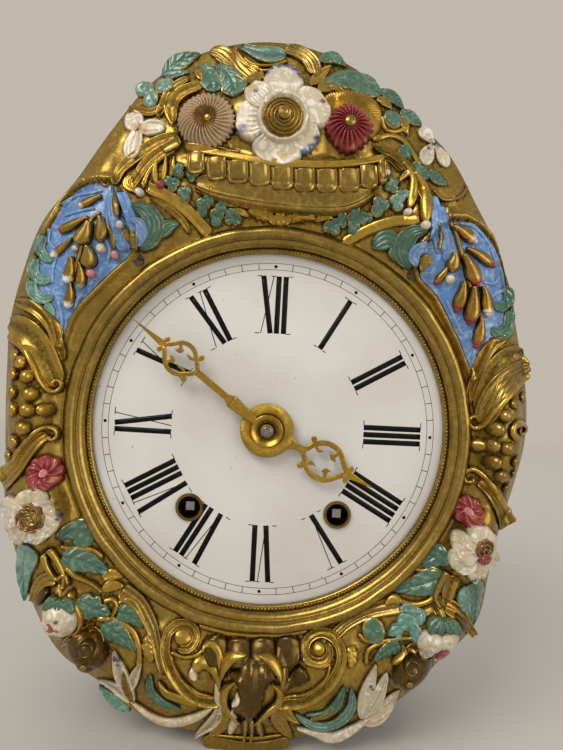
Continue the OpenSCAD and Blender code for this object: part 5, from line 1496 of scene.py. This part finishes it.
sheet_piece = sheet.done()
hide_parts("surround")

# %% [markdown]
# The bezel is a rolled brass ring: a row of beads next to the dial, a cove and a large hollow roll. Its
# section is drawn as a few arcs and spun about the dial's axis. Old rolled brass is never quite round, so a
# few slow waves are pressed into it. The beads are alike and many, so each has only a few dozen faces.

# %% Bezel and beads
def arc(cr, cd, radius, start, end, count):
    """Points (radius from the axis, depth) along an arc; 0 degrees points forward, 90 outward."""
    a = np.radians(np.linspace(start, end, count))
    return list(zip(cr + radius * np.sin(a), cd + radius * np.cos(a)))


# Section as points (radius from the axis, depth): inner lip, cove, roll, and back along the foot
SECTION = ([(103.6, 3.2), (103.6, 4.8)] + arc(104.9, 5.0, 1.3, -90, 50, 6)
           + [(106.2 + 4.0 * (1 - math.cos(a)), 5.8 + 5.4 * math.sin(a)) for a in np.linspace(0.1, 1.5, 10)]
           + [(110.3, 11.3), (110.4, 12.0)] + arc(113.2, 14.4, 3.2, -112, 96, 26)
           + [(116.6, 13.4), (117.9, 13.0), (118.0, 12.4), (117.4, 12.1), (112.0, 11.6), (112.0, 0.0),
              (108.2, 0.0), (108.0, 9.0), (105.6, 4.4)])
RING_STEPS = 360
# Dents: waves round the ring, phase, height in mm. Creases: radius and width in mm, and how dark they are, as
# dirt and painted shade
DENTS = [(17, 0.3, 0.10), (29, 1.9, 0.07), (41, 4.0, 0.05), (7, 2.2, 0.12)]
CREASES = [(106.4, 0.7, 0.6), (110.4, 0.45, 0.5), (117.0, 0.7, 0.62)]
# Depth at which the dents begin and the depth over which they grow, in mm
DENT_FROM, DENT_BLEND = 8, 8
BEAD_COUNT, BEAD_R, BEAD_AT, BEAD_D, BEAD_DIRT_AND_SHADE = 312, 0.98, 105.2, 6.5, 0.75
finish("gilt_bezel", rgb(156, 129, 63), light=rgb(186, 156, 84), bare=rgb(206, 180, 122), wear=0.2,
       metal=0.95, bump=0.12)

ring_bm = spun(SECTION, RING_STEPS, closed=True)
r, angle, d = polar(ring_bm.verts)
dent = sum(h * np.sin(n * angle + a) for n, a, h in DENTS) * ease((d - DENT_FROM) / DENT_BLEND)
crease = sum(h * np.exp(-((r - at) / w) ** 2) for at, w, h in CREASES)
settle(ring_bm, ring_bm.verts, (r + dent) * np.sin(angle), (r + dent) * np.cos(angle), d + dent, crease)
bezel = Relief("bezel_roll")
bezel.take(ring_bm, "gilt_bezel")
bezel_piece = bezel.done(slot="gilt_bezel")
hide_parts("bezel_ring")

beads = Relief("bezel_beads")
for k in range(BEAD_COUNT):
    a = 2 * math.pi * k / BEAD_COUNT
    bead_bm = blank()
    bmesh.ops.create_uvsphere(bead_bm, u_segments=8, v_segments=5, radius=1)
    across, up, out = np.array([v.co for v in bead_bm.verts]).T
    # Each bead darkens towards its back, where it sits on the ring: dirt and painted shade.
    settle(bead_bm, bead_bm.verts, BEAD_AT * math.sin(a) + BEAD_R * across,
           BEAD_AT * math.cos(a) + BEAD_R * up, BEAD_D + BEAD_R * out, np.clip(BEAD_DIRT_AND_SHADE - out, 0, 1))
    beads.take(bead_bm, "gilt_bezel")
beads.done(slot="gilt_bezel")

# %% [markdown]
# The dial is white enamel on copper, slightly domed, and its black figures are fired on. Each stroke is a
# thin strip that follows the dome just above the enamel. Roman figures stand with their tops outwards; four
# is written IIII.

# %% Dial figures
dial_lo, dial_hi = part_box("dial")
DIAL_R, DIAL_DOME = (dial_hi.x - dial_lo.x) / 2 / MM, 5.0
DIAL_FRONT = (PLATE_Y - dial_lo.y) / MM
DOME_R = (DIAL_R ** 2 + DIAL_DOME ** 2) / (2 * DIAL_DOME)
FIGURE_IN, FIGURE_OUT, THICK, HAIR = 56.5, 90.5, 3.1, 0.5
FIGURES = ["XII", "I", "II", "III", "IIII", "V", "VI", "VII", "VIII", "IX", "X", "XI"]
LETTER_W = {"I": 4.15, "V": 8.7, "X": 8.7}
HOUR_ANGLE, MINUTE_ANGLE, MINUTES = 30, 6, 60
HAIR_IN, SERIF_IN, SERIF_OUT, END_SHARE, END_OUT = 1.0, 2.4, 0.4, 0.9, 2.0
TRACK_IN, TRACK_OUT, TRACK_HALF, TICK_HALF = 94.4, 98.3, 0.13, 0.2
DOT_R, DOT_AT = 0.95, (TRACK_IN + TRACK_OUT) / 2
# Height of lines and dots over the enamel, and how far ink goes into it
LINE_UP, DOT_UP, INK_BACK = 0.06, 0.1, 0.12
finish("ink", rgb(11, 10, 11), light=rgb(18, 17, 18), bare=rgb(40, 36, 34), dark=rgb(8, 8, 8), wear=-0.2,
       dirt_and_shade_strength=0.1, metal=0.0, bump=0.02, gloss=0.15)


def dome(x, z):
    return DIAL_FRONT - DOME_R + np.sqrt(np.clip(DOME_R ** 2 - x ** 2 - z ** 2, 0, None))


def stroke(relief, turn, first, last, half, cells=(8, 2)):
    """A straight stroke of ink; first and last are (across, out) in mm for a figure turned clockwise."""
    s, c = math.sin(math.radians(turn)), math.cos(math.radians(turn))
    ends = [(a * c + o * s, o * c - a * s) for a, o in (first, last)]
    strip(relief, "ink", half, ends, width="square", section="flat", lift=0.05, height=0.02, tuck=-0.04,
          back=INK_BACK, base=dome, mm=True, cells=cells)


def lay(relief, bm, at, up):
    """Lays a flat patch of ink on the dome."""
    face, rear = shell(bm)
    for verts, above in ((face, up), (rear, -INK_BACK)):
        co = np.array([v.co for v in verts])
        x, z = co[:, 0] + at[0], co[:, 1] + at[1]
        settle(bm, verts, x, z, dome(x, z) + above)
    relief.take(bm, "ink")


figures = Relief("dial_figures")
for k, word in enumerate(FIGURES):
    turn, half_w = HOUR_ANGLE * k, sum(LETTER_W[c] for c in word) / 2
    left = -half_w
    for letter in word:
        w = LETTER_W[letter]
        mid = left + w / 2
        if letter == "I":
            stroke(figures, turn, (mid, FIGURE_IN), (mid, FIGURE_OUT), THICK / 2)
        else:
            low = 0.0 if letter == "V" else w / 2 - THICK / 2
            right = left + w
            stroke(figures, turn, (mid + low, FIGURE_IN), (left + THICK / 2, FIGURE_OUT), THICK / 2)
            stroke(figures, turn, (mid - low, FIGURE_IN), (right - HAIR_IN, FIGURE_OUT), HAIR / 2)
            stroke(figures, turn, (right - SERIF_IN, FIGURE_OUT), (right + SERIF_OUT, FIGURE_OUT), HAIR / 2,
                   (2, 1))
        left += w
    for out in (FIGURE_IN, FIGURE_OUT):
        for end in (-half_w, half_w):
            stroke(figures, turn, (end * END_SHARE, out), (end + math.copysign(END_OUT, end), out),
                   HAIR / 2, (2, 1))
for k in range(MINUTES):
    if k % 5:
        stroke(figures, MINUTE_ANGLE * k, (0, TRACK_IN), (0, TRACK_OUT), TICK_HALF, (2, 1))
for radius in (TRACK_IN, TRACK_OUT):
    lay(figures, spun([(radius - TRACK_HALF, 0), (radius + TRACK_HALF, 0)], 240), (0, 0), LINE_UP)
for k in range(len(FIGURES)):
    turn = math.radians(HOUR_ANGLE * k)
    dot_bm = blank()
    bmesh.ops.create_circle(dot_bm, cap_ends=True, segments=20, radius=DOT_R)
    lay(figures, dot_bm, (DOT_AT * math.sin(turn), DOT_AT * math.cos(turn)), DOT_UP)
figures.done(slot="enamel")

# %% [markdown]
# The hands are sawn from sheet brass and pierced. Each is a set of flat bars that follow the lines of the
# saw: a stem, two arms that swell into a heart, little curls inside it, cross knobs and a spear. Both
# halves are the same line, mirrored across the stem. No two bars have quite the same thickness, so their
# faces never lie in one plane.

# %% Pierced hands
finish("hand_brass", rgb(176, 142, 58), light=rgb(204, 168, 78), bare=rgb(222, 190, 104),
       dark=rgb(84, 62, 24), wear=0.14, dirt_and_shade_strength=0.6, metal=1.0, bump=0.06)
finish("nut_steel", rgb(168, 160, 140), light=rgb(196, 190, 174), dark=rgb(40, 34, 24),
       bare=rgb(206, 196, 164), metal=1.0, bump=0.05)
MINUTE_TURN = 307.0
HOUR_TURN = 90 + MINUTE_TURN / 12
# Lines of a hand: width form, "both" where it is made on both sides, half width, points out along the hand
# and across it, all in mm
MINUTE_LINES = """
wedge 3.9 6,0 16,0 26.3,0; fillet 3.9 26,0 32,0 40,0; square 1.9 26,0 40,0 54,0
band both 1.3 52,0.4 54.5,3 57,5.4 61,8.4 66,9 70,7.2 73.6,3.2 76.5,0.4
drop both 1.5 57,5.2 55.4,7.6 55.6,9.6; leaf both 0.9 57,5 60,3.8 63.4,4.4
band both 1 70.4,7 68.4,5.2 68,3.4; leaf both 1.2 66,5 67.6,3 70.4,2.2; drop both 1.4 76,0 77.2,3 76.6,5.2
spear 2.2 75,0 88,0 100.4,0
"""
HOUR_LINES = """
fillet 4.6 13.6,0 20,0 28,0; square 2 13,0 19,0 25.4,0
band both 1.5 24,0.4 26.4,3.6 28,6.4 32.4,9.4 37,10.4 42.6,9.4 47,5.4 52,0.4
drop both 1.7 28,6 26.4,8.4 26,10.4; leaf both 1 28.4,6 31.6,4.2 34.8,4.8
band both 1.1 43.4,8.8 41.6,6.6 41.2,4.6; leaf both 1.3 38.8,5.8 40.6,4.2 43.6,3
drop both 1.6 51.4,0 53.2,3.2 53,5.4; spear 2.6 50.4,0 60,0 71,0
"""
_, hour_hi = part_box("hour_hand")
_, minute_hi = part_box("minute_hand")
nut_lo, nut_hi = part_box("hand_nut")
HOUR_D, MINUTE_D = (PLATE_Y - hour_hi.y) / MM, (PLATE_Y - minute_hi.y) / MM
NUT_BACK, NUT_FRONT, NUT_BORE = (PLATE_Y - nut_hi.y) / MM, (PLATE_Y - nut_lo.y) / MM, 1.66
# Thickness of a hand, the share of it that its rounded edge keeps, and how much thinner each bar is than
# the last
HAND_T, HAND_EDGE, HAND_STEP = 1.2, 0.6, 0.015
# Sections of the two discs: radius, and depth in front of the back of the hand
HOUR_DISC = [(3.4, -0.1), (15.2, -0.1), (15.5, 0.3), (15.5, 1.0), (15.2, 1.3), (3.4, 1.3), (3.4, -0.1)]
MINUTE_DISC = [(3.7, 0), (9.1, 0), (9.3, 0.2), (9.3, 1.7), (9.0, 2.05), (8.6, 2.05), (8.5, 1.95),
               (3.7, 1.95), (3.7, 0)]
COLLAR = [(NUT_BORE, NUT_BACK), (4.0, NUT_BACK), (4.0, NUT_BACK + 0.25), (2.9, NUT_BACK + 0.3),
          (2.7, NUT_FRONT - 0.4), (2.3, NUT_FRONT), (NUT_BORE, NUT_FRONT), (NUT_BORE, NUT_BACK)]
TEETH, TOOTH_H, TOOTH_R = 96, 0.42, 15.0


def cut_hand(name, lines, turn, back_d):
    def level(x, z):
        return np.full(np.shape(x), back_d)

    hand = Relief(name)
    s, c = math.sin(math.radians(turn)), math.cos(math.radians(turn))
    for (width, *both), (half,), points, _ in read(lines):
        for side in ((1, -1) if both else (1,)):
            path = [(a * s + side * b * c, a * c - side * b * s) for a, b in points]
            step = HAND_STEP * hand.parts
            strip(hand, "hand_brass", half, path, width=width, section="flat", lift=0, height=HAND_T - step,
                  tuck=-HAND_T * HAND_EDGE, back=-step / 2, edge=0.7, base=level, mm=True, cells=(26, 8))
    return hand


def turned(relief, name, profile, steps, dirt_and_shade, tooth=0.0):
    """A disc turned on the dial's axis from points (radius, depth); the function after the steps gives the
    darkening at such a point, as dirt and painted shade.
    """
    bm = spun(profile, steps)
    bmesh.ops.remove_doubles(bm, verts=bm.verts, dist=1e-4)
    r, angle, d = polar(bm.verts)
    reach = r + np.where(r > TOOTH_R, tooth * np.cos(TEETH * angle), 0)
    settle(bm, bm.verts, reach * np.sin(angle), reach * np.cos(angle), d, dirt_and_shade(r, d))
    relief.take(bm, name)


# The toothed rim of the hour disc, the back edge of the minute disc and the bore of the collar are darkened:
# dirt and painted shade.
hour = cut_hand("hour_hand_brass", HOUR_LINES, HOUR_TURN, HOUR_D)
turned(hour, "hand_brass", [(r, HOUR_D + d) for r, d in HOUR_DISC], TEETH * 4,
       lambda r, d: np.clip((r - 14.6) * 0.9, 0, 0.8), TOOTH_H)
hour_piece = hour.done("hour_hand", "hand_brass")
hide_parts("hour_hand")

minute = cut_hand("minute_hand_brass", MINUTE_LINES, MINUTE_TURN, MINUTE_D)
turned(minute, "hand_brass", [(r, MINUTE_D + d) for r, d in MINUTE_DISC], 96,
       lambda r, d: np.where((r > 9.0) & (d < MINUTE_D + 0.5), 0.7, 0.0))
minute_piece = minute.done("minute_hand", "hand_brass")
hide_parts("minute_hand")

collar = Relief("hand_collar")
turned(collar, "nut_steel", COLLAR, 48, lambda r, d: np.where(r < 2.0, 0.9, 0.0))
collar_piece = collar.done("minute_hand", "steel")
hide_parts("hand_nut")

# %% [markdown]
# Behind the face is plain clockwork: forged iron posts, sheet iron doors and back, steel arbors and brass
# wheels. These CAD parts keep their shape and only get their finish. One node group gives all metals their
# stains: a slow tone, rust or tarnish in patches, and a fine grain.

# %% Metal group
METAL_GRAIN = 0.0006
stain, stain_in, stain_out = new_group(
    "stain", {"Colour": COLOUR, "Patch": COLOUR, "Amount": FLOAT, "Shine": FLOAT, "Grain": FLOAT},
    {"Colour": COLOUR, "Roughness": FLOAT, "Height": FLOAT})
place = wire(stain, "TexCoord").outputs["Object"]
slow = noise(stain, place, 26.0, Detail=4.0)
patchy = noise(stain, place, 60.0, Detail=8.0, Roughness=0.72)
grainy = noise(stain, place, stain_in["Grain"], Detail=3.0)
stained = span(stain, maths(stain, "ADD", patchy, stain_in["Amount"]), 0.56, 0.76)
clean = toned(stain, stain_in["Colour"], spread(stain, slow, 0.72, 1.18))
polish = maths(stain, "ADD", stain_in["Shine"], maths(stain, "MULTIPLY", grainy, 0.16))
stain.links.new(blend(stain, stained, clean, stain_in["Patch"]), stain_out["Colour"])
stain.links.new(maths(stain, "ADD", maths(stain, "MULTIPLY", stained, 0.22), polish), stain_out["Roughness"])
stain.links.new(maths(stain, "ADD", maths(stain, "MULTIPLY", patchy, 0.6), grainy), stain_out["Height"])


def metal(name, colour, patch, amount, shine, grain, bump, metallic=1.0):
    _, shader, _ = dress(name, stain, {"Colour": colour, "Patch": patch, "Amount": amount, "Shine": shine,
                                       "Grain": grain}, bump, METAL_GRAIN)
    shader.inputs["Metallic"].default_value = metallic


metal("forged_iron", rgb(74, 70, 66), rgb(92, 58, 38), 0.02, 0.42, 380.0, 0.5, 0.75)
metal("sheet_iron", rgb(96, 92, 88), rgb(104, 70, 48), 0.0, 0.40, 240.0, 0.25, 0.75)
metal("steel", rgb(150, 150, 150), rgb(104, 92, 80), -0.05, 0.24, 600.0, 0.1)
metal("wheel_brass", rgb(196, 158, 84), rgb(132, 100, 52), 0.0, 0.24, 700.0, 0.1)
metal("bell_metal", rgb(178, 140, 78), rgb(104, 82, 50), 0.04, 0.22, 500.0, 0.12)
metal("eyelet_brass", rgb(128, 102, 56), rgb(60, 48, 30), 0.06, 0.28, 700.0, 0.1)
print(len(FINISH), "finishes in all")

# %% [markdown]
# Enamel is glass on copper: white, very smooth under a clear coat, with a web of hairline cracks, a warmer
# tone in slow patches and a few brown specks. A cell pattern gives the cracks, and its edges are faded by
# slow noise so that they show only here and there.

# %% Enamel
WHITE, WARM_WHITE = rgb(224, 221, 214), rgb(212, 207, 197)
CRACK_COLOUR, CRACK_STRENGTH, SPECK_COLOUR = rgb(150, 132, 104), 0.45, rgb(120, 92, 60)
enamel, tree, shader = new_material("enamel")
place = wire(tree, "TexCoord").outputs["Object"]
slow = noise(tree, place, 14.0, Detail=3.0)
wobble = wire(tree, "TexNoise", {"Vector": place, "Scale": 40.0}).outputs["Color"]
bent = wire(tree, "VectorMath", {0: place, 1: wobble}, operation="ADD").outputs[0]
web = wire(tree, "TexVoronoi", {"Vector": bent, "Scale": 9.0}, feature="DISTANCE_TO_EDGE").outputs["Distance"]
crack = maths(tree, "MULTIPLY", span(tree, web, 0.006, 0.0), span(tree, slow, 0.5, 0.62))
speck = span(tree, noise(tree, place, 420.0, Detail=1.0), 0.79, 0.83)
white = blend(tree, span(tree, slow, 0.35, 0.68), WHITE, WARM_WHITE)
cracked = blend(tree, maths(tree, "MULTIPLY", crack, CRACK_STRENGTH), white, CRACK_COLOUR)
tree.links.new(blend(tree, speck, cracked, SPECK_COLOUR), shader.inputs["Base Color"])
tree.links.new(spread(tree, slow, 0.16, 0.28), shader.inputs["Roughness"])
shader.inputs["Coat Weight"].default_value = 0.5
shader.inputs["Coat Roughness"].default_value = 0.06
ripple = wire(tree, "Bump", {"Strength": 0.08, "Distance": 0.0005, "Height": slow})
tree.links.new(ripple.outputs["Normal"], shader.inputs["Normal"])
FINISH["enamel"] = enamel
print("enamel with", len(tree.nodes), "nodes")

# %% [markdown]
# Last, every CAD node takes a finish. The record names a material slot for each node; a short table says
# which finish that slot has, and a few parts have a finish of their own.

# %% Finishes on the CAD parts
SLOT_FINISH = {"embossed_brass": "wheel_brass", "gilt_bezel": "wheel_brass", "hand_brass": "wheel_brass"}
OWN_FINISH = {"winding_eyelets": "eyelet_brass", "surround_screws": "forged_iron"}
for row in frame["record"]["subparts"]:
    node = frame["nodes"][row["node"]]
    name = OWN_FINISH.get(row["node"]) or SLOT_FINISH.get(row["material_slot"], row["material_slot"])
    node.data.materials.clear()
    node.data.materials.append(FINISH[name])
